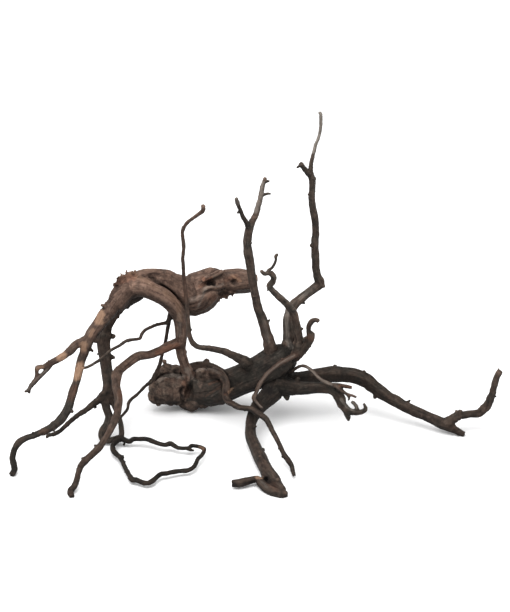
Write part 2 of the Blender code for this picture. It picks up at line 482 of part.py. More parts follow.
def bake_modifiers(wood):
    """Replaces the object's mesh by what its modifiers make of it."""
    bpy.context.view_layer.update()
    made = bpy.data.meshes.new_from_object(wood.evaluated_get(bpy.context.evaluated_depsgraph_get()))
    wood.modifiers.clear()
    wood.data = made


def grow_skin(wood):
    """One even skin over the joined branches, rounded where they meet."""
    skin = wood.modifiers.new("skin", "REMESH")
    skin.mode = "VOXEL"
    skin.voxel_size = SKIN_CELL
    smooth = wood.modifiers.new("soften", "SMOOTH")
    smooth.factor = 0.5
    smooth.iterations = SKIN_SMOOTHING
    bake_modifiers(wood)


def centre_samples(lines):
    """For each point of the lines: place, radius, a turning frame, the way along, the line's number."""
    samples = []
    for number, line in enumerate(lines.values()):
        side = Vector((0, 0, 1))
        along = 0.0
        for step, (place, radius) in enumerate(line):
            ahead = line[min(step + 1, len(line) - 1)][0] - line[max(step - 1, 0)][0]
            ahead.normalize()
            side = (side - ahead * side.dot(ahead)).normalized()
            if step:
                along += (place - line[step - 1][0]).length
            samples.append((place, radius, side.copy(), ahead.cross(side), along, number))
    for across, up, depth, radius in BURL_LUMPS:
        samples.append((placed(across, up, depth), radius * MM, None, None, 0.0, BURL))
    return samples


def branch_relief(place, sample):
    """How far the surface stands out at this place: lobes that twist round the branch, and swellings."""
    centre, radius, side, other, along, number = sample
    arm = place - centre
    angle = math.atan2(arm.dot(other), arm.dot(side))
    rise = SWELLING * noise.noise(place / (SWELLING_PITCH * radius))
    for count, share, turn in LOBES:
        rise += share * math.sin(count * angle + along / (turn * MM) + 2.4 * number)
    return rise * min(radius, 14 * MM)


def burl_relief(place):
    """Uneven swellings with creases between them."""
    swell = noise.noise(place / BURL_PITCH)
    crease = abs(noise.noise(place / (0.55 * BURL_PITCH)))
    return BURL_RELIEF * (swell - BURL_CREASE * max(0.0, 1 - crease / CREASE_WIDTH))


class Sinks:
    """The hollows and grooves, and how far they push the surface in."""

    def __init__(self):
        self.hollows = [(placed(*spot[:3]), spot[3] * MM, spot[4] * MM) for spot in HOLLOWS]
        self.bed = []
        for groove in GROOVES:
            line = [placed(*point) for point in groove["line"]]
            reach, push = groove["reach"] * MM, groove["push"] * MM
            for start, end in zip(line, line[1:]):
                steps = max(1, round(3 * (end - start).length / reach))
                self.bed += [(start.lerp(end, step / steps), reach, push) for step in range(steps + 1)]
        self.tree = kdtree.KDTree(len(self.bed))
        for number, spot in enumerate(self.bed):
            self.tree.insert(spot[0], number)
        self.tree.balance()

    def push(self, place):
        spots = [self.bed[self.tree.find(place)[1]], *self.hollows]
        total = 0.0
        for middle, reach, most in spots:
            share = (place - middle).length / reach
            if share < 1:
                total += most * (1 - share * share) ** 2
        return total


def carve_relief(wood, lines):
    """Moves the skin along its normals by the relief of the wood below, and pushes in its hollows."""
    samples = centre_samples(lines)
    tree = kdtree.KDTree(len(samples))
    for number, sample in enumerate(samples):
        tree.insert(sample[0], number)
    tree.balance()
    sinks = Sinks()
    moved = []
    for vertex in wood.data.vertices:
        place = vertex.co
        near = sorted((gap - samples[number][1], number) for _, number, gap in tree.find_n(place, 10))
        closest = samples[near[0][1]]
        rival = next((gap for gap, number in near if samples[number][5] != closest[5]), near[0][0] + SEAM)
        calm = min(1.0, (rival - near[0][0]) / SEAM)
        if closest[5] == BURL:
            rise = burl_relief(place)
        else:
            rise = calm * branch_relief(place, closest)
        moved.append(place + vertex.normal * (rise - sinks.push(place)))
    wood.data.vertices.foreach_set("co", [value for place in moved for value in place])
    wood.data.update()


def thin_out(wood):
    """Keeps the triangles that carry the form."""
    thin = wood.modifiers.new("thin_out", "DECIMATE")
    thin.use_collapse_triangulate = True
    thin.ratio = TRIANGLES / sum(len(p.vertices) - 2 for p in wood.data.polygons)
    bake_modifiers(wood)


def drop_crumbs(wood):
    """Keeps the one body of wood, without the loose crumbs that thinning out can leave."""
    whole = bmesh.new()
    whole.from_mesh(wood.data)
    left = set(whole.verts)
    islands = []
    while left:
        island, edge_of_island = set(), [left.pop()]
        while edge_of_island:
            vertex = edge_of_island.pop()
            island.add(vertex)
            for edge in vertex.link_edges:
                other = edge.other_vert(vertex)
                if other in left:
                    left.remove(other)
                    edge_of_island.append(other)
        islands.append(island)
    islands.sort(key=len)
    for crumb in islands[:-1]:
        bmesh.ops.delete(whole, geom=list(crumb), context="VERTS")
    whole.to_mesh(wood.data)
    whole.free()


def stand_on_ground(wood, collection):
    """Cuts off what reaches below the ground, which leaves the small flat spots that the root stands on."""
    bpy.ops.mesh.primitive_cube_add(size=1, location=(0, 0, -GROUND_THICKNESS / 2))
    ground = bpy.context.object
    ground.name = "ground_cutter"
    ground.scale = (0.8, 0.8, GROUND_THICKNESS)
    ground.hide_render = True
    ground.display_type = "WIRE"
    for home in ground.users_collection:
        home.objects.unlink(ground)
    collection.objects.link(ground)
    cut = wood.modifiers.new("stand_on_ground", "BOOLEAN")
    cut.operation = "DIFFERENCE"
    cut.object = ground
    cut.solver = "EXACT"


def black_wood():
    material = bpy.data.materials.new("black_wood")
    material.use_nodes = True
    shader = material.node_tree.nodes["Principled BSDF"]
    shader.inputs["Base Color"].default_value = (0.045, 0.033, 0.028, 1)
    shader.inputs["Roughness"].default_value = 0.75
    shader.inputs["Metallic"].default_value = 0.0
    return material


def main():
    for old in list(bpy.data.objects):
        bpy.data.objects.remove(old)
    parts = bpy.data.collections.new("black_driftwood_root")
    cutters = bpy.data.collections.new("cutters")
    bpy.context.scene.collection.children.link(parts)
    bpy.context.scene.collection.children.link(cutters)
    lines = {name: branch_line(points) for name, points in BRANCHES.items()}
    wood = joined_wood(parts, lines)
    grow_skin(wood)
    carve_relief(wood, lines)
    thin_out(wood)
    drop_crumbs(wood)
    stand_on_ground(wood, cutters)
    wood.data.materials.clear()
    wood.data.materials.append(black_wood())


main()
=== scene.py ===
"""Looks of the black driftwood root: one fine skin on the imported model's shape, its bark, fibres and light.

The centre lines, lumps and hollows are those of the part's source, in millimetres, so the skin lies where the
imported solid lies. The viewer's side is -Y, and the camera looks along the sight lines that the tables use.
"""

import math
import random

import bmesh
import bpy
import numpy as np
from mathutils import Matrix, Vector, bvhtree, noise


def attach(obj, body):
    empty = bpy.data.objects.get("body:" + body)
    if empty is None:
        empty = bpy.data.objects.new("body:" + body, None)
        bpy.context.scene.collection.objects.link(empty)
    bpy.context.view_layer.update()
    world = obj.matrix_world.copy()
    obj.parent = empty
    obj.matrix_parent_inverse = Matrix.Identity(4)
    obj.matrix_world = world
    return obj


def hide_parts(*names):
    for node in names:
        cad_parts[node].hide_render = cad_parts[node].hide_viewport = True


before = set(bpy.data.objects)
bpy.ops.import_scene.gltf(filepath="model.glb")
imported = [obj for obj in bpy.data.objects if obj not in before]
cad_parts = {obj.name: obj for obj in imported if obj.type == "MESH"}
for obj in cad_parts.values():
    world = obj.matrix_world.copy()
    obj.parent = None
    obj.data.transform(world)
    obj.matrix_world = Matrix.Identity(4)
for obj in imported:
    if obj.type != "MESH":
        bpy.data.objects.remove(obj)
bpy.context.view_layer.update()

MM = 0.001

# The branches were sighted from above the front. ACROSS and UP are millimetres on the sighting plane, which
# faces the eye, and DEPTH is how far the wood lies behind the front root tip. UP and DEPTH give the height
# above the ground as if all sight lines were parallel. The wood is then put on the eye's own sight line.
# PICTURE_HEIGHT is the height of the photograph on the sighting plane, with 1 mm to its pixel.
SIGHT_ELEVATION = math.radians(25)
SIGHT_DISTANCE = 2000.0
SIGHT_CENTRE = (255.0, 194.5)
SIGHT_PLANE_DEPTH = 95.0
PICTURE_HEIGHT = 612.0

# The point of the ground that becomes the origin, so that the root's box is centred on it.
ORIGIN = (257.8, 134.7)

# Branches, each a centre line of (across, up, depth, radius) in millimetres, from its thick end to its tip.
# The radius is that of the bare wood, and BARK is the thickness of the bark over it. A line's points are
# LINE_STEP radii apart, and never closer than SHORTEST_STEP.
BARK = 0.3
LINE_STEP = 1.1
SHORTEST_STEP = 1.5 * MM
BRANCHES = {
    "trunk": (
        (196, 112, 214, 17), (212, 112, 211, 18), (226, 116, 208, 16), (239, 121, 204, 15.5),
        (252, 126, 201, 16.5), (264, 131, 198, 18), (276, 138, 196, 18), (287, 144.5, 195, 14),
        (294, 149, 193, 8),
    ),
    "back_root": (
        (180, 126, 232, 6), (190, 130.5, 236, 6.6), (197, 132, 238, 7.2), (205, 131.6, 238, 7.2),
        (213, 129.4, 235, 6.8), (221, 125.8, 229, 6.6), (230, 121, 220, 7),
    ),
    "column": (
        (191, 120, 212, 8), (187, 131, 209, 5.4), (182.3, 144, 206, 4.8), (180.8, 155, 204, 5.4),
        (181.4, 168, 202, 6.3), (181, 179, 199, 7), (178.5, 187, 196, 7.6), (174, 193.5, 193, 8.1),
        (168, 200, 190, 8.4), (160, 205.5, 187, 8.6), (151, 210, 185, 9), (142, 213.5, 183, 10),
        (131, 214, 181, 11.5),
    ),
    "log": (
        (131, 214, 182, 11), (141, 220, 190, 11), (152, 221.5, 197, 11.5), (165, 217, 206, 13),
        (179, 208.6, 213, 17.2), (192, 205.2, 219, 21.5), (204, 211, 221, 20.6), (213, 217, 223, 16.5),
        (222, 217.5, 226, 12.5), (231, 218, 229, 12), (240, 219, 232, 12), (248, 219, 235, 11.2),
        (254, 218.5, 237, 10.2),
    ),
    "log_lip": (
        (199, 203, 206, 2.2), (203.5, 210, 204, 2.8), (210, 213.2, 206.5, 2.8), (217, 212.8, 210.5, 2.8),
        (223, 215, 215.5, 2.6), (228, 213.5, 219, 2.2),
    ),
    "log_lid": (
        (222, 228.5, 224, 2.6), (217.5, 227, 215, 2.7), (212.5, 224.5, 210.5, 2.6), (207, 222.5, 208, 2.2),
        (202, 219, 205, 1.5),
    ),
    "junction_stub": (
        (141, 207, 187, 5.2), (134.5, 203, 185, 5.4), (128.5, 197, 183, 3.6), (126.5, 191.8, 182, 1.6),
    ),
    "left_limb": (
        (129, 213, 181, 12), (119, 201, 174, 10.3), (110, 190, 167, 8), (103, 181, 161, 6.6),
        (97, 173, 156, 6.2), (91, 165, 151, 6), (87, 157, 147, 5.4), (84.5, 149, 144, 4.5),
        (81.5, 140, 140, 4.3), (79, 130, 136, 4.2), (77, 120, 131, 3.9), (73.5, 110, 125, 4),
        (71, 101, 119, 4.1), (67.5, 91, 112, 4.2), (61, 81, 103, 4.2), (53, 74, 96, 3.9),
        (44, 69, 90, 3.4), (34, 65, 85, 2.9), (26, 62.5, 81, 2.9), (19, 58, 78, 3.1),
        (14.5, 50.5, 75, 2.9), (12.5, 42, 70, 2.9), (14, 35.5, 66, 3), (14.5, 30.5, 63, 2.9),
        (11.5, 25.5, 56, 2.8),
    ),
    "left_fork": (
        (91, 163, 151, 5.2), (83, 159, 148, 4.4), (76, 155.5, 145, 4), (70, 149.3, 142, 3.8),
        (63, 143.8, 139, 3.4), (56, 140, 136, 3.1), (50, 137, 133, 2.9), (44, 134, 131, 2),
        (37.5, 132.5, 129, 2.3), (36.8, 127, 127, 1.6), (36, 121, 125, 2),
    ),
    "left_fork_strand": (
        (51, 136.5, 133, 2.4), (47, 131, 130, 2), (42, 126, 127, 1.8), (36, 120.5, 124.5, 2.4),
        (31.5, 115.5, 122, 2.1), (28.5, 111, 119, 1.6), (24.5, 108.5, 116, 0.9),
    ),
    "left_fork_tip": ((29.5, 112.5, 120, 1.5), (29.2, 107, 118, 1.1)),
    "back_limb": (
        (129, 206, 186, 10), (119, 194, 184, 6.6), (111, 182, 182, 5.4), (106.3, 171, 180, 5.8),
        (104, 160, 177, 6.5), (104.5, 149, 173, 6), (105.8, 138, 169, 5.8), (107.5, 127, 164, 5.5),
        (108.5, 117, 160, 5.4), (107.5, 108, 156, 5.8),
    ),
    "back_limb_twig": (
        (107, 108, 157, 5.4), (100, 101.5, 153, 3.8), (93, 96.5, 149, 2.8), (86, 90.6, 145, 2.5),
        (79, 86.1, 141, 2.3), (72, 80.6, 137, 2.1), (66, 75.1, 132, 2), (60, 69.6, 127, 2),
        (54, 66.5, 122, 2), (48, 65, 118, 1.6), (46.8, 62, 116, 0.9),
    ),
    "back_limb_hook": (
        (107.5, 107, 157, 5.4), (105.5, 96, 152, 4.3), (107.8, 88, 148, 3.7), (109, 82.5, 145, 3.8),
        (107, 75.5, 141, 4), (103, 69.5, 138, 4.1), (102, 64.5, 136, 3.9), (105, 60.5, 133, 3.3),
        (110, 60, 131, 2.9), (116, 61.5, 130, 2.9), (121, 61, 129, 2.7),
    ),
    "back_limb_strut": (
        (109, 109, 157, 4.4), (113, 98, 152, 2.8), (117, 88, 147, 2.5), (120.5, 78, 141, 2.5),
        (121.5, 68, 135, 2.6), (121, 60, 130, 2.6),
    ),
    "ring": (
        (116, 62.4, 130, 2.9), (121, 61.9, 129, 2.7), (126, 59.9, 127, 2.4), (130, 58.9, 126, 2.3),
        (133.5, 61.2, 127, 2.2), (140, 61.4, 126, 2.2), (147, 61.2, 125, 2.2), (153, 59.2, 121, 2.2),
        (159, 56.9, 117, 2.2), (165, 55.7, 115, 2.1), (170.5, 56.9, 116, 2.3), (174, 54.9, 113, 2.2),
        (178.5, 52.7, 110, 1.9), (185, 52.4, 109, 1.8), (189.5, 52.9, 109, 1.8), (191.3, 54.9, 111, 1.8),
        (196.8, 54.4, 110, 1.8), (201.8, 52.9, 107, 1.8), (204.3, 50.4, 102, 1.9), (201.8, 45.4, 91, 1.8),
        (197.8, 41.4, 83, 1.9), (195.6, 36.4, 73, 2), (192.3, 32.4, 64, 2), (187, 29.9, 59, 2.1),
        (180, 29.4, 58, 2.1), (173, 28.4, 54.5, 2.1), (166, 26.9, 51, 2.1), (161, 26.4, 49.5, 2.2),
        (156, 22.9, 42, 2.2), (152, 19.4, 34.5, 2.4), (147, 17.2, 29.5, 2.3), (142, 18.4, 32.5, 2.2),
        (137, 20.4, 36.5, 2.3), (132, 21.4, 39.5, 2.6), (128.5, 26.9, 52, 2.1), (125, 33.4, 67, 2),
        (122, 39.9, 82, 2), (119.5, 43.9, 91, 2.3), (114.5, 48.4, 101, 2.4), (112.5, 52.4, 109, 2.4),
        (113.5, 56.4, 118, 2.4), (117.5, 59.9, 126, 2.4),
    ),
    "ring_barb": ((187, 51.7, 108, 1.6), (190.5, 50.7, 105, 1.3), (194, 50, 103, 0.9)),
    "ring_knuckle": ((120, 43, 91, 2.2), (124, 43.5, 92, 1.8)),
    "long_left_root": (
        (181, 158, 203, 6), (174, 156, 199, 5), (166, 152.5, 194, 4.6), (158, 148.5, 188, 4.2),
        (150, 145.7, 181, 4), (141, 144.8, 173, 4.2), (134, 141.5, 166, 4.5), (128, 137, 159, 4.5),
        (121.5, 132, 151, 4.3), (117, 126.5, 144, 4.9), (115.8, 119, 136, 4.5), (116.5, 111, 128, 4),
        (118.2, 103, 120, 3.8), (118.3, 96, 112, 3.6), (117.3, 88, 104, 3.5), (114.5, 79.5, 94, 3.4),
        (110.5, 71, 84, 3.2), (106, 63, 75, 3.2), (100.5, 55, 67, 3.1), (94, 48, 59, 3.2),
        (87.5, 42, 52, 3.3), (81.5, 35.5, 45, 3.1), (78.5, 28, 36, 2.7), (76.5, 20, 27, 2.6),
        (74, 14, 19, 2.8), (70.5, 9.5, 16, 3.1), (72, 4, 5.5, 2.2),
    ),
    "left_root_barb": ((87, 42.5, 53, 2), (81, 42, 52, 0.9)),
    "arch_twig": (
        (173, 192, 198, 4), (170.5, 185, 199, 3), (167.5, 178.5, 198, 2), (162, 176.8, 194, 1.6),
        (156, 175.5, 189, 1.5), (150, 173, 183, 1.5), (144.5, 170, 178, 1.5), (141.5, 166, 174, 1.5),
        (139.5, 162, 171, 1.5), (133, 161, 166, 1.5), (126, 159.5, 160, 1.5), (119.5, 155, 154, 1.4),
        (112, 151, 148, 1.4), (106, 146, 142, 1.3), (100, 141, 137, 1.3), (94, 137, 132, 1.3),
        (87.5, 133.5, 128, 1.2), (81.5, 132, 126, 1.1),
    ),
    "burl_twig": (
        (170.5, 186, 199, 2.4), (168.3, 176, 201, 1.9), (166.5, 165, 202, 1.7), (164.5, 155, 202, 1.7),
        (162, 145, 201, 1.7), (159.3, 135, 198, 1.9), (155.5, 125.5, 193, 2.3), (151, 119, 188, 1.9),
        (146, 115, 183, 1.5), (141, 110, 178, 1.4), (136, 105, 173, 1.4), (131, 101, 169, 1.5),
        (128.5, 97, 166, 1.5), (127.8, 92, 163, 1.4), (125, 88, 160, 1.3), (121.5, 84, 156, 1.2),
        (118.5, 81.5, 153, 1),
    ),
    "stem": (
        (254, 132, 196, 6.5), (247, 137, 190, 5.8), (239, 142, 187, 4.6), (231, 146, 184, 3.8),
        (223.5, 149.2, 182, 3.3), (215.5, 151, 180, 3), (208, 152.3, 179, 2.8), (201, 153, 178, 2.6),
        (195.5, 155, 178, 2.6),
        (191.5, 159.5, 178, 2.5), (189.5, 166, 179, 2.3), (188.5, 175, 180, 2.1), (187.8, 184, 181, 2),
        (187.2, 193, 182, 1.9), (186.3, 203, 182, 1.8), (184.9, 214, 182, 1.7), (184, 225, 182, 1.6),
        (183.3, 235, 181, 1.6), (182.9, 242, 180, 1.6), (183.6, 250, 179, 1.6), (183.7, 257, 178, 1.7),
        (182.7, 264, 177, 1.6), (182.6, 269, 176, 1.7), (184.6, 274, 174, 1.7), (188, 278.5, 172, 1.7),
        (193.5, 282.5, 169, 1.6), (199, 286.5, 166, 1.7), (203, 290, 164, 2), (203, 295.5, 163, 1.8),
    ),
    "left_upright": (
        (272, 146, 193, 8), (269.5, 158, 191, 6), (266.4, 168, 190, 5.2), (262.8, 180, 189, 4.8),
        (258.8, 191, 188, 4.4), (256, 201, 187, 4.1), (254, 211, 186, 4), (252.6, 220, 185, 4),
        (251.2, 230, 184, 4.1), (249.4, 240, 183, 4.1), (247.8, 249, 182, 4.1), (247.4, 258, 182, 4),
        (248.2, 266, 182, 4), (249.6, 272, 182, 4), (252, 278, 183, 3.3), (256, 286, 185, 2.8),
        (258.3, 294, 187, 2.6), (260.3, 301.5, 189, 2.4), (261.6, 309, 191, 2.2), (263, 315.5, 193, 2),
        (265.4, 323, 195, 1.5),
    ),
    "left_upright_arm": (
        (249, 271, 182, 3), (246.6, 278, 179, 2.3), (242.8, 284, 176, 2), (241, 289, 173, 1.8),
        (238.8, 294, 170, 1.8), (237, 299, 168, 1.9), (236.2, 302.5, 167, 1.4),
    ),
    "left_upright_barb_low": ((262, 305, 190, 1.3), (267, 306.7, 188, 1.1), (271, 306.5, 187, 0.8)),
    "left_upright_barb_top": ((264, 318, 194, 1.5), (266.5, 319, 193, 1.2), (269.5, 319.6, 192, 0.8)),
    "left_arm_barb": ((240, 289, 172, 1.4), (237, 287.5, 171, 0.9)),
    "tall_upright": (
        (289, 148, 196, 10), (289, 161, 197, 6.8), (289, 172, 199, 6), (289.4, 183, 201, 5.5),
        (291.5, 192, 204, 5), (297, 198.3, 207, 4.6), (303, 203.3, 210, 4.4), (309, 208, 213, 4.4),
        (315, 212.5, 216, 4.6), (319.8, 217, 218, 4.9), (318.2, 223.5, 218, 4.4), (316.3, 231, 217, 3.8),
        (315.8, 241, 216, 3.8), (315.2, 250, 215, 3.7), (315.2, 259, 214, 3.6), (315.8, 268, 213, 3.4),
        (315.6, 278, 212, 3.5), (314, 287, 211, 3.5), (312.2, 295, 211, 3.3), (311.8, 303, 211, 3.2),
        (312.2, 312, 211, 2.9), (312.2, 320, 212, 3.2), (310.7, 326.5, 213, 3), (310.6, 331, 214, 2.2),
        (311.2, 337, 215, 1.9), (312.7, 344, 217, 1.7), (314.3, 350, 218, 1.6), (315.5, 355.5, 220, 1.5),
        (317.9, 361, 221, 1.4), (319.6, 367, 223, 1.4), (320.5, 373, 224, 1.4), (320.9, 379.5, 225, 1.5),
        (320.6, 386.6, 226, 1.4), (318.4, 387.6, 226, 1.2),
    ),
    "tall_upright_stub": (
        (310.5, 325, 213, 3), (306.5, 329.5, 210, 2.5), (303, 333.5, 208, 2.3), (300.7, 337, 206, 2.2),
    ),
    "tall_stub_barb": ((300.3, 335, 206, 1.3), (296.5, 332.8, 204, 0.8)),
    "tall_upright_knob": ((313, 321.5, 211, 2), (315.8, 322, 210, 1.5)),
    "curly_upright": (
        (299, 149, 188, 8), (299, 160, 184, 5), (297.4, 171, 181, 4.1), (295.6, 181, 178, 3.9),
        (292.6, 189, 176, 3.8), (288.2, 195, 173, 3.4), (283, 200, 170, 3.2), (278, 204.5, 167, 3),
        (273.5, 209, 165, 2.8), (270, 212.8, 163, 2.8), (270, 216, 162, 2.9), (272.8, 219, 161, 2.9),
        (273.8, 222.8, 160, 2.8), (272.2, 226, 158, 2.6), (268.8, 227.5, 156, 2.3), (265, 226.6, 154, 1.9),
        (262.5, 228.2, 152, 1.6), (261, 230, 151, 1.1),
    ),
    "curly_upright_tip": (
        (269, 227.5, 156, 2), (268.6, 230.3, 156, 1.6), (271.8, 232.6, 157, 1.2), (274.3, 236.5, 158, 1.2),
        (275.9, 241, 159, 1.2), (275.9, 245, 160, 1.3), (278, 246, 161, 1.1),
    ),
    "hook_upright": (
        (295, 145, 186, 6.5), (301.5, 149, 181, 4.2), (306, 153.5, 177, 4), (309, 158.5, 174, 4.1),
        (310.8, 163, 172, 4.3), (310, 166.2, 171, 3.6), (308.9, 169, 170, 2.3), (308.8, 173, 169, 2.4),
        (310.2, 177, 167, 2.5), (313.2, 180, 165, 2.3), (316.6, 180.6, 163, 2.1), (319, 178.6, 162, 1.7),
    ),
    "hook_stub": ((309, 163, 172, 2.6), (303.5, 161.3, 174, 1.5)),
    "right_limb": (
        (284, 124, 200, 10), (294, 122.5, 202, 6.2), (304, 123.5, 204, 6), (314, 124.7, 205, 6.8),
        (324, 125.3, 206, 7.7), (334, 126.3, 206, 8.1), (344, 125.8, 206, 8), (354, 124.8, 204, 8.4),
        (363, 121.4, 202, 8.2), (371, 117, 199, 7.3), (379, 110, 195, 6.5), (387, 104.5, 190, 6.1),
        (396, 99.5, 185, 5.6), (405, 94.5, 180, 5.2), (414, 90, 175, 5), (423, 86, 170, 5),
        (432, 82, 165, 5.2), (440, 78.2, 161, 5.9), (447, 75.6, 158, 5.9), (453, 72, 155, 4.3),
        (458.5, 69, 154, 3.1), (464.5, 66, 152, 2.9),
    ),
    "right_limb_arm": (
        (445, 77, 158, 5.2), (451, 80.5, 159, 5), (456, 84, 161, 4.5), (461.5, 85.4, 164, 3.9),
        (468, 86.5, 166, 3.6), (474, 86.8, 167, 3.7), (479.5, 88, 167, 4), (484, 91.6, 166, 4.6),
        (488.2, 96, 165, 4.4), (490.6, 102, 163, 3.8), (492.8, 108.5, 160, 3.4), (494.5, 115.5, 157, 3.1),
        (496.2, 122, 154, 3.1), (498.4, 126.5, 152, 3.1), (500.2, 129.3, 151, 2.8),
    ),
    "right_arm_knob": ((457, 85, 161, 2), (456.4, 90, 160, 1.4)),
    "claw_limb": (
        (278, 117, 189, 12), (290, 113.5, 184, 8.5), (301, 112.5, 180, 6.6), (312, 113, 177, 5.9),
        (322, 112.8, 174, 5.6), (331, 111.8, 171, 5.4), (336.5, 108, 169, 5.1), (340.1, 101.5, 167, 5.2),
        (342.6, 95.5, 165, 4.4), (347.5, 90.2, 163.5, 3.8), (353.5, 88.3, 162, 2.9), (359.5, 88.2, 161, 2.4),
        (364, 89.6, 161, 2.2), (365.8, 91.8, 161, 1.8), (364.8, 95, 161.5, 1.3), (363.6, 97, 162, 0.9),
    ),
    "claw_spur": ((345.5, 92, 164, 4), (347.6, 85, 164, 2.8), (348.6, 79.6, 164, 0.9)),
    "claw_curl": (
        (357.5, 88.6, 162, 2.1), (356.4, 93.5, 163.5, 1.8), (354, 97, 164.5, 1.6), (351.2, 98.7, 165, 1.3),
    ),
    "claw_knob": ((286, 108, 184, 5), (287, 102.5, 182, 2.6), (287.5, 100, 181, 1.2)),
    "side_twig": (
        (286, 130, 190, 3.5), (291, 129, 187, 1.9), (295.5, 131.8, 184, 1.5), (300, 134.2, 182, 1.4),
        (304.5, 134.3, 180, 1.4), (309, 132, 177, 1.5), (313.2, 128.5, 174, 1.5), (317.3, 124, 170, 1.6),
        (322.3, 120, 167, 1.6), (328.3, 117, 164, 1.7), (334, 115, 162, 1.8), (339, 112.2, 160, 1.8),
        (343, 109, 159, 1.6), (347, 106.5, 158, 1.3), (352, 105, 157, 1.1), (356.5, 103.2, 156, 0.9),
    ),
    "side_twig_fork": ((346, 107, 158, 1.3), (349, 103, 157, 1), (348.5, 100, 157, 0.8)),
    "side_twig_branch": (
        (333, 116, 163, 1.7), (340, 115.4, 162, 1.7), (347, 114, 161, 1.7), (352, 113, 160, 1.5),
    ),
    "front_root": (
        (213, 126, 206, 7), (219.5, 125.8, 199, 5), (224.3, 121.2, 192, 4.1), (226.2, 115, 186, 3.8),
        (225.8, 109, 181, 3.6), (225.8, 103.8, 176, 3.4), (228, 99, 170, 3.1), (232.5, 96.8, 164, 2.9),
        (238.5, 93.6, 157, 2.7), (245.5, 92.4, 151, 2.6), (252, 91, 145, 2.8), (258, 87, 139, 3),
        (263, 84, 133, 2.8), (267.3, 79.5, 127, 2.6), (270, 74.3, 120, 2.3), (272.6, 69, 112, 2.2),
        (275.6, 63.5, 105, 2.2), (278.6, 57.5, 98, 2.2), (281.6, 51, 90, 2.2), (284.6, 45, 82, 2.3),
        (288.2, 40, 75, 2.4), (291.4, 35, 67, 2.3), (292.6, 30, 58, 2), (294.2, 24.8, 50, 1.6),
    ),
    "front_leg": (
        (276, 116, 191, 13), (269, 105.5, 180, 10), (260.8, 97, 170, 8.4), (254.8, 88.5, 159, 7),
        (250.8, 80, 149, 5.8), (250, 71.5, 137, 5.1), (251.1, 63.5, 123.5, 5.3), (254.8, 55, 107, 5.7),
        (258.2, 47, 90, 5.9), (262, 39, 72, 6.2), (266.6, 31, 55, 6.5), (271.5, 23, 38.5, 6.8),
        (276.5, 15.3, 24.5, 6.3), (281, 9.5, 14.3, 5.2), (285.5, 4.6, 6.2, 3.2),
    ),
    "side_foot": (
        (284, 5.5, 7.7, 3), (279, 7.5, 10.5, 4.4), (272.5, 9.8, 14.6, 4.5), (266.5, 12.8, 20.6, 4.2),
        (261.3, 17.6, 28.5, 3.8), (257.6, 21.4, 36.2, 3.1), (252, 20.9, 35, 3.4), (245.5, 19.3, 31.7, 3.7),
        (238.5, 17.7, 28.6, 3.9), (231.8, 17.3, 28, 3.6),
    ),
    "bark_twig": (
        (300, 147, 184, 5), (293, 144, 178, 3), (286.5, 140.3, 174, 2.5), (280, 136.7, 171, 2.2),
        (274, 132.4, 168, 2), (268.5, 127.6, 166, 1.9), (264, 122.5, 164, 1.9), (260.5, 117.3, 163, 2),
        (257.8, 112, 162, 1.9), (255.8, 107, 161, 1.9), (253.8, 102.5, 160, 2.2), (255.8, 99.2, 158, 1.5),
        (258.5, 95.6, 156, 1.3), (262.2, 92, 154, 1.3),
    ),
}

# Lumps of the burl, as (across, up, depth, radius) in millimetres: the lobe in front on the left, the one
# above and behind it, the blocky one on the right, and the core that carries them.
BURL_LUMPS = (
    (165, 110, 211, 14.8), (174.5, 110.3, 211, 14.3), (155.3, 104.3, 209, 8), (156.8, 112.5, 210, 8.6),
    (181, 115, 209, 9), (176.5, 101.5, 207, 6.8), (158.5, 96.8, 206, 2.6), (171, 99, 206, 5),
    (159.5, 122, 222, 8.5), (167, 128.3, 224, 9.4), (165.5, 135.3, 224, 3), (175, 126.3, 222, 10.4),
    (200.5, 126.8, 207, 6.4), (209, 124.5, 206, 6.5), (217, 121, 205, 6.8), (222, 116.5, 204, 6.2),
    (204, 113, 211, 16), (214, 112, 208, 13), (196, 104, 210, 11.5), (192.5, 97.4, 209, 8.2),
    (191.4, 91.8, 207, 3.6), (203, 101, 209, 9.4), (214, 104.5, 207, 9.5), (187, 105, 210, 7.5),
    (196, 109, 227, 16), (189, 103, 219, 13.2), (178, 112, 222, 15),
)

# Knots on the branches, and the knuckle where the limbs part, in the same way.
KNOTS = (
    (130.5, 213.5, 182, 12), (113, 164, 178, 2.6), (311.4, 255, 213, 1.8), (364, 128.5, 201, 2.4),
    (98.3, 146.5, 175, 1.6), (95, 93.5, 150, 1.7), (124, 56, 126, 1.5), (210, 226.6, 222, 7.4),
    (227, 206.5, 222, 4), (219, 205, 217, 3.6), (213, 203, 214, 3.4), (115.2, 215.8, 178, 2.6),
    (449, 77.5, 158, 6.2), (488, 90.6, 166, 2.2), (460, 88.6, 163, 2.6), (262.5, 50.5, 97, 2.4),
    (283, 43.8, 84, 1.6), (291.5, 36, 66, 1.7), (164.5, 139, 224, 2.6), (339, 112, 164, 3),
)

# Hollows, as (across, up, depth, radius, push) in millimetres, with the middle on the surface of the wood.
HOLLOWS = (
    (183.5, 110, 199, 6, 3.5), (160, 100, 204, 3.6, 1.5), (175, 97.5, 202, 3.6, 1.6),
    (176, 129, 214, 5, 2.5), (209, 217.6, 207, 3.8, 3.6), (213.5, 218, 209, 3.8, 3.6),
    (234.5, 219, 220, 4.5, 3.5), (265, 133, 184, 5, 2.5), (266, 109, 178, 4.5, 2.5),
    (217, 208.5, 212, 4.5, 2.5), (267.3, 20.5, 33, 4.2, 3.5), (226, 106.5, 178.5, 2.6, 1.5),
    (305.5, 166, 171, 2.4, 1),
)

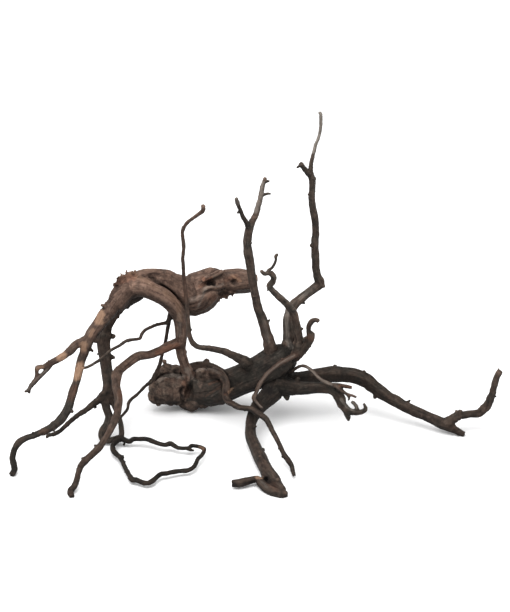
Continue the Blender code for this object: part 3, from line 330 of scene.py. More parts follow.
# Grooves between forms that have grown together: the line of (across, up, depth), half width and depth.
GROOVES = (
    {"line": ((151, 224, 187), (157, 217.8, 189), (164, 212, 192), (171, 206.6, 195), (177, 201, 197)),
     "reach": 4.2, "push": 2.6},
    {"line": ((193, 124, 202), (188.5, 116, 199), (184.5, 108, 198), (182.5, 101, 200)),
     "reach": 4, "push": 2.2},
    {"line": ((151, 119.5, 215), (158, 122.5, 214), (168, 124.5, 213), (178, 125.5, 212)),
     "reach": 3, "push": 1.4},
    {"line": ((296, 150, 183), (294.5, 160, 181), (293, 170, 181), (292, 180, 181)), "reach": 3, "push": 1.2},
)

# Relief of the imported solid. The lobes round each branch are (count, height, turn), with the turn in
# millimetres. Their height and the swellings' are shares of the radius, up to RELIEF_LIMIT. The burl has
# swellings with creases between them. The branches' relief fades out within SEAM of where forms meet.
LOBES = ((3, 0.06, 60.0), (5, 0.04, -45.0))
LOBE_SHIFT = 2.4
SWELLING = 0.16
SWELLING_PITCH = 2.6
RELIEF_LIMIT = 14 * MM
BURL_RELIEF = 1.0 * MM
BURL_PITCH = 16 * MM
BURL_CREASE = 0.4
CREASE_WIDTH = 0.18
CREASE_PITCH = 0.55
SEAM = 2.5 * MM

# The number that stands for the burl where the branches are told apart by their place in BRANCHES.
BURL = -1

# Broken fibres: where a tuft stands, the way it points in the sighting plane, and the length, count and
# thickness of its fibres. Only the scene has the last tuft, at the torn shoulder of the limb.
SPLINTER_TUFTS = (
    {"line": ((116, 213, 176), (121, 221, 178), (130, 224, 181), (137, 226, 184)), "points": (-0.35, 1.0),
     "length": 4.6, "count": 15, "thick": 1.3},
    {"line": ((213, 201, 214), (221, 203.5, 216), (237, 206, 221)), "points": (0.1, -1.0),
     "length": 4.0, "count": 7, "thick": 2.1},
    {"line": ((114.5, 215, 176), (119, 221.5, 178), (127, 224.5, 181), (137, 226, 184)),
     "points": (-0.3, 1.0), "length": 5.8, "count": 12, "thick": 1.4},
)

# How unevenly the fibres stand along a tuft's line, how far they lean, how their lengths vary, how many
# millimetres deep they are rooted, and how thick they are at the root and at the tip.
SPLINTER_SEED = 7
SPLINTER_UNEVEN = 0.8
SPLINTER_LEAN = 0.5
SPLINTER_LENGTHS = (0.6, 1.3)
SPLINTER_ROOT = 4
SPLINTER_THICK_ROOT = 2.0
SPLINTER_THIN_TIP = 0.5

# Nubs of lost twigs along the branches: the usual distance between two, and the thickest wood that has them.
# The gaps before the first nub and before the others are shares of the usual distance, and a nub's reach, its
# width, how far out it begins and how far it leans are shares of the branch's radius.
NUB_GAP = 30 * MM
NUB_LIMIT = 8.5 * MM
NUB_SEED = 33
NUB_FIRST_GAP = (0.5, 1.2)
NUB_NEXT_GAP = (0.5, 1.5)
NUB_REACH = (1.2, 1.7)
NUB_WIDTH = (0.35, 0.55)
NUB_START = 0.8
NUB_LEAN = 0.3
NUB_TIP = 0.5

# How round the tubes and lumps are, and how close their points may lie before they are joined.
TUBE_ROUNDNESS = 4
LUMP_ROUNDNESS = 3
JOIN_GAP = 0.00001

# Fine skin: cell size, smoothing, how closely the centre lines are followed, and the triangles that are kept.
SKIN_CELL = 0.72 * MM
SKIN_SMOOTHING = 3
SKIN_SOFTNESS = 0.5
FINE_STEP = 0.25
TRIANGLES = 194000

# How far from its thickest wood a branch may still own a place, and how many places are looked up at once.
SEARCH = 8 * MM
PORTION = 3000

# Strokes on the front of the wood are lines of (across, up) on the sighting plane. DEPTH_WINDOW is how far
# the wood may lie from a stroke's own depth, STROKE_EDGE how sharply a colour stroke ends, STROKE_REACH how
# much farther than its reach its uneven edge may go, and FACING_EDGE how soon wood that turns away loses it.
DEPTH_WINDOW = 15.0
STROKE_EDGE = 3.0
STROKE_REACH = 1.6
FACING_EDGE = 4

# Folds that only the fine skin has, as (depth, reach, push, line): wrinkles of the log, folds and fibres of
# the burl, and cracks of the trunk. A push below 0 is a ridge.
FOLDS = (
    (220, 2.2, 1.1, ((229.5, 220.5), (232.5, 217.5), (237.5, 216))),
    (221, 1.2, -0.5, ((229, 224), (234, 224.5), (239, 221))),
    (200, 1.4, 0.9, ((190, 196.5), (196, 197.5), (200, 199.5), (203, 203.5))),
    (200, 1.4, 0.8, ((195, 189.5), (202, 192), (207, 197), (209.5, 202))),
    (200, 1.2, 0.6, ((193, 193), (199, 194.5), (204, 199), (206.5, 204))),
    (198, 2.4, -0.6, ((191, 200), (197, 201.5), (200, 205))),
    (208, 1.5, 0.9, ((205, 208.5), (211, 210.2), (218, 209.7), (224, 211.7), (229, 210))),
    (212, 1.4, 0.9, ((219, 228.5), (213, 225.5), (206, 221.5))),
    (214, 1.4, 0.8, ((163, 135), (170, 131), (176, 128))),
    (212, 1.2, 0.6, ((158, 131), (166, 129), (172, 129.5), (178, 132))),
    (208, 1.7, 1.1, ((154.5, 119.5), (157, 122.5), (161, 125.3), (167, 127), (174, 128), (181, 127))),
    (207, 1.8, -0.8, ((152, 126.5), (156, 127.5), (160, 128.5))),
    (204, 2.8, -1.1, ((159, 119.5), (164, 123), (172, 124.7), (182, 123.5))),
    (202, 1.8, 1.0, ((166, 117), (171, 112.5), (173, 106.5), (172, 101))),
    (202, 1.5, 0.8, ((157, 116), (161, 111.5), (162, 106))),
    (203, 1.6, 1.0, ((192, 124), (190.5, 118), (190, 112), (187, 105), (183, 100))),
    (205, 3.6, -1.9, ((202.5, 129.5), (208, 130), (213.5, 128.5))),
    (200, 1.8, -0.7, ((150, 101), (156, 99.5), (164, 98.5))),
    (199, 1.4, 0.8, ((152, 106), (160, 104), (168, 104.5))),
    (198, 1.3, 0.5, ((158, 116), (166, 112), (176, 112), (182, 114))),
    (203, 1.7, -0.9, ((197, 129), (203, 132), (212, 130.5), (218, 128))),
    (197, 1.1, 0.35, ((199, 123.5), (206, 122), (212, 123))),
    (196, 1.2, 0.7, ((200, 120), (207, 118), (213, 118.5), (219, 120.5))),
    (194, 1.3, 0.9, ((219, 120.5), (222, 117), (222, 110))),
    (194, 1.1, 0.6, ((221, 116), (213, 111), (205, 106))),
    (194, 1.1, 0.6, ((221, 112), (214, 107), (207, 103))),
    (195, 1.1, 0.5, ((220, 108), (213, 103.5), (206, 100))),
    (198, 1.4, 0.7, ((183.5, 113), (182, 109), (182.5, 104))),
    (188, 1.4, 1.0, ((290, 193), (292.5, 183), (294.5, 170), (296, 158))),
    (191, 1.1, 0.5, ((285, 188), (284.5, 175), (286, 160))),
    (191, 1.1, 0.5, ((289, 186), (288.5, 172), (290, 158))),
    (188, 1.4, 0.7, ((240, 124), (255, 131), (270, 139))),
    (190, 1.3, 0.6, ((232, 129), (246, 132), (256, 137))),
    (188, 1.3, 0.6, ((236, 114), (250, 119), (262, 123))),
    (191, 1.3, 0.6, ((258, 150), (266, 146), (278, 150))),
    (176, 1.4, 0.7, ((110, 205), (118, 211), (128, 215))),
    (172, 1.3, 0.6, ((106, 195), (113, 203), (122, 207))),
    (160, 1.3, 0.6, ((98, 178), (104, 188), (110, 196))),
)

# Noise layers, each with its own seed. LATTICE is how many slopes a layer draws on, a power of 2, and
# LATTICE_GAIN makes the noise reach about 1.
LATTICE = 256
LATTICE_GAIN = 1.5
OCTAVE_SHIFT = 17.3
LAYER_SEEDS = {
    "bend": 3, "ridges": 5, "fibres": 8, "cracks": 13, "bark": 21, "wrinkles": 34, "wobble": 55, "mottle": 89,
    "where": 144,
}

# Fibres and bark, in millimetres: pitch across the grain and height. A stretch is the pitch across the grain
# over the pitch along it, in the relief of the branches and of the burl, and in the colour.
FIBRE_PITCH = 1.5
FIBRE_HEIGHT = 0.11
RIDGE_PITCH = 5.0
RIDGE_HEIGHT = 0.16
CRACK_PITCH = 6.0
CRACK_WIDTH = 0.07
CRACK_DEPTH = 0.28
BARK_PITCH = 3.6
BARK_HEIGHT = 0.17
WRINKLE_PITCH = 2.6
WRINKLE_HEIGHT = 0.16
RELIEF_STRETCH = 0.09
BURL_RELIEF_STRETCH = 0.55
GRAIN_STRETCH = 0.07
BURL_GRAIN_STRETCH = 0.35

# Cracks bend by a share of their pitch, and stand in patches.
CRACK_BEND = 0.35
CRACK_BEND_PITCH = 6 * MM
CRACK_PATCH_PITCH = 22 * MM
CRACK_PATCH_EDGE = 2.5

# Wood of this radius or more has the full fine relief, and the burl counts as wood of its own radius.
THICK_WOOD = 8 * MM
THIN_SHARE = 0.15
BURL_THICKNESS = 10 * MM

# The share of the ridges that the burl has, the share of fibres and bark that doesn't shrink on thin wood,
# and the share of all fine relief that stays where forms meet.
BURL_RIDGES = 0.6
THIN_FIBRES = 0.3
SEAM_RELIEF = 0.45

# The grain turns round each branch, faster on thin wood, and is bent and leans over on the burl. GRAIN_SHIFT
# keeps the branches' patterns apart.
GRAIN_TWIST = 0.06
THINNEST_TWIST = 3 * MM
GRAIN_SHIFT = 37.7
BURL_GRAIN = ((0.8, 0, -0.6), (0, 1, 0), (0.6, 0, 0.8))
BURL_BEND = 5.0
BEND_PITCH = 16 * MM
BEND_SHIFTS = (0.0, 31.7, 63.1)

# Rounds of averaging over neighbours, for crests and for the soft normals from which the top of the wood
# gets painted light and its underside painted shade.
CREST_STEPS = 12
SOFT_STEPS = 4

# Uneven edges of the colour strokes, and the mottling of the whole wood.
WOBBLE = 0.3
WOBBLE_PITCH = 3 * MM
MOTTLE_PITCH = 9 * MM

# Rays that find how deep a place lies between its neighbours, where the wood gets painted shade: how many,
# how far they look, where they start above the wood, how widely they spread, and how their result is
# smoothed.
CAVITY_RAYS = 9
CAVITY_REACH = 14 * MM
CAVITY_START = 0.3
CAVITY_SPREAD = 0.95
CAVITY_SEED = 4
CAVITY_STEPS = 3
CAVITY_KEEP = 0.4

# How red-brown the wood of each branch is at its thick end and at its tip, from 0 for charcoal to 1, and then
# how bright it is at both ends, with 1 for the column.
TONES = {
    "trunk": (0.25, 0.1, 0.46, 0.4), "column": (0.75, 1.0, 1.0, 1.0), "log": (0.95, 0.9, 0.72, 0.76),
    "log_lip": (0.6, 0.6, 0.8, 0.8), "log_lid": (0.9, 0.9, 0.75, 0.75), "left_limb": (1.2, -0.5, 0.6, 0.19),
    "left_fork": (0.8, 0.6, 0.5, 0.4), "left_fork_strand": (0.6, 0.5, 0.4, 0.4),
    "back_limb": (0.5, 0.4, 0.4, 0.42), "back_limb_twig": (0.4, 0.2, 0.34, 0.26),
    "back_limb_hook": (0.25, 0.2, 0.4, 0.4), "back_limb_strut": (0.25, 0.2, 0.3, 0.3),
    "ring": (0.2, 0.2, 0.17, 0.17), "ring_knuckle": (0.25, 0.2, 0.18, 0.18),
    "ring_barb": (0.25, 0.2, 0.18, 0.18), "long_left_root": (0.9, 0.55, 0.64, 0.21),
    "front_leg": (0.2, 0.6, 0.24, 0.34),
    "side_foot": (0.3, 0.5, 0.34, 0.27), "stem": (0.2, 0.9, 0.38, 0.62), "right_limb": (0.3, 0.5, 0.3, 0.27),
    "right_limb_arm": (0.3, 0.5, 0.4, 0.5), "claw_limb": (0.25, 0.2, 0.28, 0.47),
    "left_upright": (0.4, 0.4, 0.6, 0.7), "tall_upright": (0.3, 0.3, 0.62, 0.55),
    "curly_upright": (0.35, 0.3, 0.72, 0.75), "hook_upright": (0.6, 0.4, 0.55, 0.4),
    "front_root": (0.6, 0.3, 0.38, 0.27), "back_root": (0.6, 0.5, 0.4, 0.4),
    "bark_twig": (0.9, 0.9, 0.42, 0.42), "arch_twig": (0.5, 0.2, 0.4, 0.36),
    "burl_twig": (0.5, 0.2, 0.36, 0.32), "junction_stub": (0.3, 0.2, 0.4, 0.3),
    "side_twig": (0.4, 0.6, 0.5, 0.55),
}
TONES_ELSEWHERE = (0.25, 0.2, 0.42, 0.42)
BURL_TONES = (0.55, 0.55, 0.76, 0.76)

# Colour strokes as (depth, reach, strength, line). Bare wood is pale tan, rust orange-brown, pale grey-tan.
# Some strokes of bared and paler wood are painted highlights: on the arch's crest, the left edges of the
# column and uprights, the bark twig's top, the burl's top and the log's ridges. Most near-black strokes
# are painted shade in hollows, grooves, under the log's lip and under the arch; the others are darker bands
# and cut ends.
# Bared bands, and painted highlight on the arch's crest and the column's left edge.
BARE_AND_HIGHLIGHT_STROKES = (
    (159, 4.6, 0.85, ((101, 187), (98.5, 179))), (152, 2.4, 0.5, ((93, 171), (90.5, 165))),
    (146, 4.2, 0.6, ((83.5, 156), (83, 151.5))), (133, 5.2, 1.0, ((80.3, 134.5), (77.6, 124.5))),
    (139, 4.8, 0.9, ((62.5, 144.8), (60.5, 143.4))), (130, 2.6, 0.5, ((42, 133), (38, 132))),
    (219, 1.0, 0.7, ((232.3, 225.2), (236, 222.4), (240, 220))),
    (178, 1.4, 0.8, ((228.5, 108), (231.5, 111.5))),
    (37, 1.8, 0.8, ((257, 23), (262.5, 23.2))), (188, 3.2, 0.35, ((165, 208.5), (178, 198), (180, 181))),
    (186, 2.6, 0.25, ((136, 224), (148, 219), (158, 211))), (181, 1.6, 0.3, ((119, 224), (123, 227))),
    (183, 1.6, 0.3, ((128, 226), (134, 228))), (108, 1.8, 0.3, ((199.5, 53.5), (203, 51.8))),
)
RUST_STROKES = (
    (208, 2.4, 0.8, ((203, 222), (206, 219), (211, 221.5))), (212, 2.2, 0.6, ((200, 214.5), (204, 217))),
    (220, 3.0, 0.35, ((226, 221), (236, 224), (239, 220))), (222, 1.6, 0.7, ((233, 223.5), (238, 220))),
    (215, 4.2, 0.35, ((211, 203), (219, 202), (225, 206))),
    (188, 4.6, 0.7, ((177, 153.5), (168, 151), (159, 147.5))),
    (179, 4.2, 0.6, ((117, 218), (126, 222), (134, 224))),
    (200, 3.6, 0.45, ((184.5, 117), (187.5, 111), (186.5, 105))),
    (195, 1.4, 0.5, ((209, 116.5), (216, 119), (221, 119.5))),
    (194, 1.4, 0.3, ((221, 114), (206, 104.5))), (125, 4.0, 0.45, ((74.5, 113), (71, 102))),
    (90, 3.0, 0.4, ((47, 70), (41, 68))), (171, 3.2, 0.5, ((308.5, 164), (311.5, 161.5))),
    (106, 2.0, 0.6, ((201, 53), (204.5, 50.5))), (179, 2.0, 0.8, ((225, 106.8), (227, 107))),
    (122, 2.6, 0.4, ((119.8, 109), (120.2, 101.5))), (162, 1.8, 0.6, ((340, 115), (351, 113.5))),
    (30, 4.5, 0.3, ((270, 17), (276, 12))), (188, 3.0, 0.3, ((186, 230), (185.5, 200))),
)
# Paler wood, and painted highlights on crests, on the bark twig's top and on the left of uprights.
PALE_AND_HIGHLIGHT_STROKES = (
    (222, 4.0, 1.0, ((313.5, 350), (318, 361), (321, 374), (320.5, 388))),
    (192, 2.8, 0.4, ((287.5, 191), (286.5, 175), (288, 160), (291, 153))),
    (168, 1.2, 0.3, ((294, 145), (280, 137), (268.5, 128), (261, 119), (256, 107), (254.5, 101))),
    (157, 1.6, 0.4, ((255.5, 99), (262, 92))), (192, 3.2, 0.5, ((256, 290), (261, 305), (263, 317))),
    (168, 2.4, 0.5, ((236, 302), (237.5, 296))),
    (200, 1.5, 0.3, ((206, 211), (203, 206), (201, 200), (198, 193))),
    (200, 2.6, 0.25, ((179, 186), (179, 165))), (205, 3.0, 0.25, ((187, 131), (192, 122))),
    (203, 2.6, 0.35, ((160, 121), (165, 124), (173, 125.5), (183, 124))),
    (204, 1.7, 0.25, ((197, 130), (203, 131.8), (213, 130.5), (219, 127.5), (224, 121), (226, 110))),
    (208, 1.5, 0.2, ((204, 212), (210, 214.5), (217, 213.8), (223, 216))),
    (199, 3.0, 0.25, ((191, 200.5), (199, 203))),
    (172, 1.6, 0.4, ((307, 133), (314, 127.5), (321, 120.5), (331, 116))),
    (212, 1.6, 0.3, ((300, 202), (307, 207.5))), (161, 1.6, 0.6, ((341, 101), (347, 94), (354, 90.5))),
    (164, 1.8, 0.6, ((351.5, 98.5), (356, 93.5))), (128, 1.5, 0.3, ((48, 131), (36, 120.5), (27, 110))),
    (190, 3.0, 0.2, ((264, 178), (267.5, 160))), (45, 1.5, 0.3, ((262, 18), (270, 11))),
)
# Darker bands and cut ends, and painted shade in hollows, grooves, under the log's lip and under the arch.
DARK_AND_SHADE_STROKES = (
    (140, 4.6, 0.45, ((82.5, 146), (81.5, 141.5))), (133, 3.4, 0.35, ((52, 139), (47, 135.5))),
    (155, 3.2, 0.3, ((96, 174), (93, 176))), (220, 3.4, 0.3, ((231, 219.5), (236, 217))),
    (199, 1.8, 0.7, ((181, 112), (180.5, 108), (182.5, 104))),
    (200, 2.2, 0.9, ((155.5, 102.5), (162.5, 100))), (202, 2.6, 0.8, ((169, 97.5), (178, 97))),
    (212, 1.2, 0.5, ((155, 120), (158.5, 124), (164, 126.5))),
    (213, 1.5, 0.45, ((168, 127.6), (174, 128.3), (181, 127.3))),
    (202, 1.3, 0.3, ((199.3, 127.5), (200.5, 125))),
    (184, 4.6, 0.6, ((262, 134.5), (271, 131))), (180, 4.2, 0.8, ((264, 112), (270, 109))),
    (190, 1.8, 0.3, ((152, 222), (159, 215), (167, 209), (173, 204))),
    (208, 2.0, 0.9, ((208, 217.5), (214, 215.5))), (220, 1.9, 0.3, ((232.5, 221), (235.5, 217.5))),
    (208, 1.0, 0.25, ((205, 208.6), (211, 210.2), (218, 209.7), (225, 211.7))),
    (216, 2.0, 0.7, ((221, 205.5), (228, 207.5))), (185, 3.8, 0.5, ((127, 202), (136, 203), (146, 201.5))),
    (34, 3.2, 0.9, ((265.5, 22), (269, 19.5))), (28, 3.6, 0.8, ((229, 17.5), (233.5, 16.5))),
    (9, 3.0, 0.6, ((282.5, 4.5), (287, 3))), (179, 1.6, 1.0, ((224.5, 107.5), (227, 107))),
    (162, 2.0, 0.8, ((340.5, 112), (343.5, 111.5))),
    (212, 1.0, 0.4, ((219, 229), (212, 225.5), (205, 221.5))),
)

# Colours of the wood as they look on a screen, from 0 to 255, or the darker and the paler end of a range.
CHARCOAL = ((34, 31, 28), (92, 85, 77))
BROWN = ((50, 36, 31), (130, 104, 90))
# Paler crests: partly wear, partly painted highlight.
CREST_WEAR_AND_HIGHLIGHT = (152, 128, 112)
FLECK_COLOUR = (160, 144, 130)
RUST = ((82, 53, 41), (140, 100, 80))
# Grey-tan, which also colours painted highlights.
PALE_AND_HIGHLIGHT = ((112, 104, 97), (178, 168, 158))
# Tan of bared wood, which also colours painted highlight on the arch's crest.
BARE_AND_HIGHLIGHT = ((104, 80, 64), (152, 122, 100))
# Near black, for darker bands and for painted shade in hollows and grooves.
DARK_AND_SHADE = (16, 12, 11)

# The patterns in the colour: how many bumps there are to the millimetre of the grain coordinates, and to
# the metre for blotches and grit. Where the mean of streaks and blotches passes through WOOD_RANGE, the wood
# turns from the darker end of its colours to the paler one.
FIBRE_SCALE = 1.1
STREAK_SCALE = 0.33
BLOTCH_SCALE = 240.0
GRIT_SCALE = 1100.0
WOOD_RANGE = (0.32, 0.7)

# How strongly the shading shows the finest relief, its height in metres, and how much the wood shines.
BUMP_STRENGTH = 0.7
BUMP_HEIGHT = 0.0006
SHINE = 0.12

# The white table, in metres, and the light of the room. The lamps are (name, place, size, power), in metres
# and watts, and shine at LAMP_AIM.
TABLE_SIZE = 12
TABLE_PLACE = (0, 2.0, 0)
TABLE_WHITE = 0.93
ROOM_LIGHT = 0.75
LAMP_AIM = (0, 0, 0.1)
LAMPS = (
    ("softbox_above", (-0.25, -0.45, 1.9), 2.2, 50.0),
    ("softbox_left", (-1.5, -0.4, 1.3), 1.2, 8.0),
)


SINE = math.sin(SIGHT_ELEVATION)
COSINE = math.cos(SIGHT_ELEVATION)


def sight_point(across, up, back):
    """The point at (across, up) on a plane that faces the eye and lies at back along the sight lines."""
    return across, up * SINE + back * COSINE, up * COSINE - back * SINE


EYE = sight_point(*SIGHT_CENTRE, SIGHT_PLANE_DEPTH - SIGHT_DISTANCE)


def placed(across, up, depth):
    """The real place, in metres, of wood that is seen at (across, up) and lies at depth."""
    height = (up - depth * SINE) / COSINE
    eye = Vector(EYE)
    seen = Vector(sight_point(across, up, SIGHT_PLANE_DEPTH))
    place = eye.lerp(seen, (height - eye.z) / (seen.z - eye.z))
    return (place - Vector((*ORIGIN, 0))) * MM


def smooth_line(knots, spacing):
    """Points (place, radius) on a smooth curve through the knots, at spacing times the solid's own steps."""
    ends = [knots[0], *knots, knots[-1]]
    line = []
    for before, start, end, after in zip(ends, ends[1:], ends[2:], ends[3:]):
        gap = (end[0] - start[0]).length
        steps = max(1, round(gap / spacing / max(LINE_STEP * min(start[1], end[1]), SHORTEST_STEP)))
        for step in range(steps):
            t = step / steps
            weights = (
                -0.5 * t + t * t - 0.5 * t ** 3,
                1 - 2.5 * t * t + 1.5 * t ** 3,
                0.5 * t + 2 * t * t - 1.5 * t ** 3,
                -0.5 * t * t + 0.5 * t ** 3,
            )
            four = (before, start, end, after)
            place = sum((w * k[0] for w, k in zip(weights, four)), Vector())
            line.append((place, sum(w * k[1] for w, k in zip(weights, four))))
    line.append(knots[-1])
    return line


def branch_lines(spacing):
    """The smooth centre line of each branch, by name, with the bark in its radii."""
    return {
        name: smooth_line([(placed(*point[:3]), (point[3] + BARK) * MM) for point in points], spacing)
        for name, points in BRANCHES.items()
    }


def splinter_lines():
    """Short tapering fibres that stand along the line of each tuft, drawn with a seeded generator."""
    draw = random.Random(SPLINTER_SEED)
    for tuft in SPLINTER_TUFTS:
        line = [placed(*point) for point in tuft["line"]]
        across, up = tuft["points"]
        for number in range(tuft["count"]):
            t = (number + draw.random() * SPLINTER_UNEVEN) / tuft["count"] * (len(line) - 1)
            base = line[int(t)].lerp(line[min(int(t) + 1, len(line) - 1)], t % 1)
            lean = [draw.uniform(-SPLINTER_LEAN, SPLINTER_LEAN) for _ in range(2)]
            way = Vector((across + lean[0], lean[1], up)).normalized()
            length = tuft["length"] * draw.uniform(*SPLINTER_LENGTHS) * MM
            root = base - way * SPLINTER_ROOT * MM
            thick = tuft["thick"] * MM
            yield [
                (root, SPLINTER_THICK_ROOT * thick),
                (base, thick),
                (base + way * length, SPLINTER_THIN_TIP * thick),
            ]


def nub_lines(lines):
    """Short stubs of lost twigs, at uneven distances along the thinner branches."""
    for number, line in enumerate(lines.values()):
        draw = random.Random(NUB_SEED + number)
        left = NUB_GAP * draw.uniform(*NUB_FIRST_GAP)
        for (before, _), (place, radius) in zip(line, line[1:]):
            left -= (place - before).length
            if left > 0:
                continue
            left = NUB_GAP * draw.uniform(*NUB_NEXT_GAP)
            ahead = (place - before).normalized()
            way = Vector([draw.uniform(-1, 1) for _ in range(3)])
            way = (way - ahead * way.dot(ahead)).normalized()
            reach, width = draw.uniform(*NUB_REACH), draw.uniform(*NUB_WIDTH)
            if radius < NUB_LIMIT:
                yield [
                    (place, width * radius),
                    (place + way * radius * NUB_START, width * radius),
                    (place + way * radius * reach + ahead * radius * NUB_LEAN, NUB_TIP * width * radius),
                ]


def tube(name, line):
    """A closed round tube along the line, as a mesh."""
    data = bpy.data.curves.new(name, "CURVE")
    data.dimensions = "3D"
    data.bevel_depth = 1.0
    data.bevel_resolution = TUBE_ROUNDNESS
    data.use_fill_caps = True
    spline = data.splines.new("POLY")
    spline.points.add(len(line) - 1)
    for point, (place, radius) in zip(spline.points, line):
        point.co = (*place, 1)
        point.radius = radius
    curve = bpy.data.objects.new(name, data)
    bpy.context.scene.collection.objects.link(curve)
    bpy.context.view_layer.update()
    mesh = bpy.data.meshes.new_from_object(curve.evaluated_get(bpy.context.evaluated_depsgraph_get()))
    bpy.data.objects.remove(curve)
    bpy.data.curves.remove(data)
    return mesh


def rough_wood(lines, coarse_lines):
    """The branches, lumps, splinters and nubs as overlapping closed bodies in one object."""
    whole = bmesh.new()
    for line in [*lines.values(), *splinter_lines(), *nub_lines(coarse_lines)]:
        mesh = tube("branch", line)
        whole.from_mesh(mesh)
        bpy.data.meshes.remove(mesh)
    for across, up, depth, radius in BURL_LUMPS + KNOTS:
        made = bmesh.ops.create_icosphere(whole, subdivisions=LUMP_ROUNDNESS, radius=radius * MM)
        bmesh.ops.translate(whole, verts=made["verts"], vec=placed(across, up, depth))
    bmesh.ops.remove_doubles(whole, verts=whole.verts, dist=JOIN_GAP)
    mesh = bpy.data.meshes.new("driftwood")
    whole.to_mesh(mesh)
    whole.free()
    wood = bpy.data.objects.new("driftwood", mesh)
    bpy.context.scene.collection.objects.link(wood)
    return wood


def bake_modifiers(wood):
    """Replaces the object's mesh by what its modifiers make of it."""
    bpy.context.view_layer.update()
    made = bpy.data.meshes.new_from_object(wood.evaluated_get(bpy.context.evaluated_depsgraph_get()))
    wood.modifiers.clear()
    wood.data = made


def grow_skin(wood):
    """Closes the overlapping bodies under one even skin."""
    skin = wood.modifiers.new("skin", "REMESH")
    skin.mode = "VOXEL"
    skin.voxel_size = SKIN_CELL
    smooth = wood.modifiers.new("soften", "SMOOTH")
    smooth.factor = SKIN_SOFTNESS
    smooth.iterations = SKIN_SMOOTHING
    bake_modifiers(wood)


def drop_crumbs(wood):
    """Keeps the largest body and deletes the grains that come loose from it."""
    mesh = bmesh.new()
    mesh.from_mesh(wood.data)
    loose, bodies = set(mesh.verts), []
    while loose:
        body, front = set(), [next(iter(loose))]
        loose.discard(front[0])
        while front:
            corner = front.pop()
            body.add(corner)
            for edge in corner.link_edges:
                other = edge.other_vert(corner)
                if other in loose:
                    loose.discard(other)
                    front.append(other)
        bodies.append(body)
    largest = max(bodies, key=len)
    bmesh.ops.delete(mesh, geom=[v for v in mesh.verts if v not in largest], context="VERTS")
    mesh.to_mesh(wood.data)
    mesh.free()


def thin_out(wood):
    """Keeps the triangles that carry the form."""
    thin = wood.modifiers.new("thin_out", "DECIMATE")
    thin.use_collapse_triangulate = True
    thin.ratio = min(1.0, TRIANGLES / sum(len(p.vertices) - 2 for p in wood.data.polygons))
    bake_modifiers(wood)


def rows_of(data, name, width, kind=np.float32):
    """One property of all the vertices, normals or edges, with a row for each."""
    values = np.empty(width * len(data), kind)
    data.foreach_get(name, values)
    return values.reshape(-1, width)


def places_and_normals(wood):
    places = rows_of(wood.data.vertices, "co", 3)
    normals = rows_of(wood.data.vertex_normals, "vector", 3)
    return places.astype(np.float64), normals.astype(np.float64)


def near_line(points, line, reach):
    """The numbers of the points in the line's box, which reach makes wider on all sides."""
    inside = (points > line.min(axis=0) - reach) & (points < line.max(axis=0) + reach)
    return np.nonzero(inside.all(axis=1))[0]


def line_gaps(points, line):
    """Each point's distance from each stretch of the line, and how far along it the nearest place is."""
    start, step = line[:-1], np.diff(line, axis=0)
    arm = points[:, None] - start
    t = np.clip((arm * step).sum(axis=2) / (step * step).sum(axis=1), 0, 1)
    return np.linalg.norm(arm - t[:, :, None] * step, axis=2), t


def dent(gap, reach):
    """The share of a dent's push at a distance from its middle, from 1 there to 0 at reach."""
    return (1 - np.minimum(gap / reach, 1) ** 2) ** 2


class Lattice:
    """Smooth seeded noise for many points at once, from about -1 to 1, with bumps one unit apart."""

    def __init__(self, seed):
        draw = np.random.default_rng(seed)
        slopes = draw.normal(size=(LATTICE, 3))
        self.slopes = slopes / np.linalg.norm(slopes, axis=1, keepdims=True)
        self.order = draw.permutation(LATTICE)

    def __call__(self, points):
        cell = np.floor(points).astype(np.int64)
        inner = points - cell
        ease = inner * inner * inner * (inner * (6 * inner - 15) + 10)
        total = np.zeros(len(points))
        for corner in np.ndindex(2, 2, 2):
            pick = 0
            for axis in range(3):
                pick = self.order[(pick + cell[:, axis] + corner[axis]) & (LATTICE - 1)]
            share = np.prod(np.where(np.array(corner) == 1, ease, 1 - ease), axis=1)
            total += share * ((inner - corner) * self.slopes[pick]).sum(axis=1)
        return LATTICE_GAIN * total

    def rough(self, points, octaves=3):
        """Noise with finer noise on top, half as high each time."""
        return sum(self(points * 2 ** step + OCTAVE_SHIFT * step) / 2 ** step for step in range(octaves))


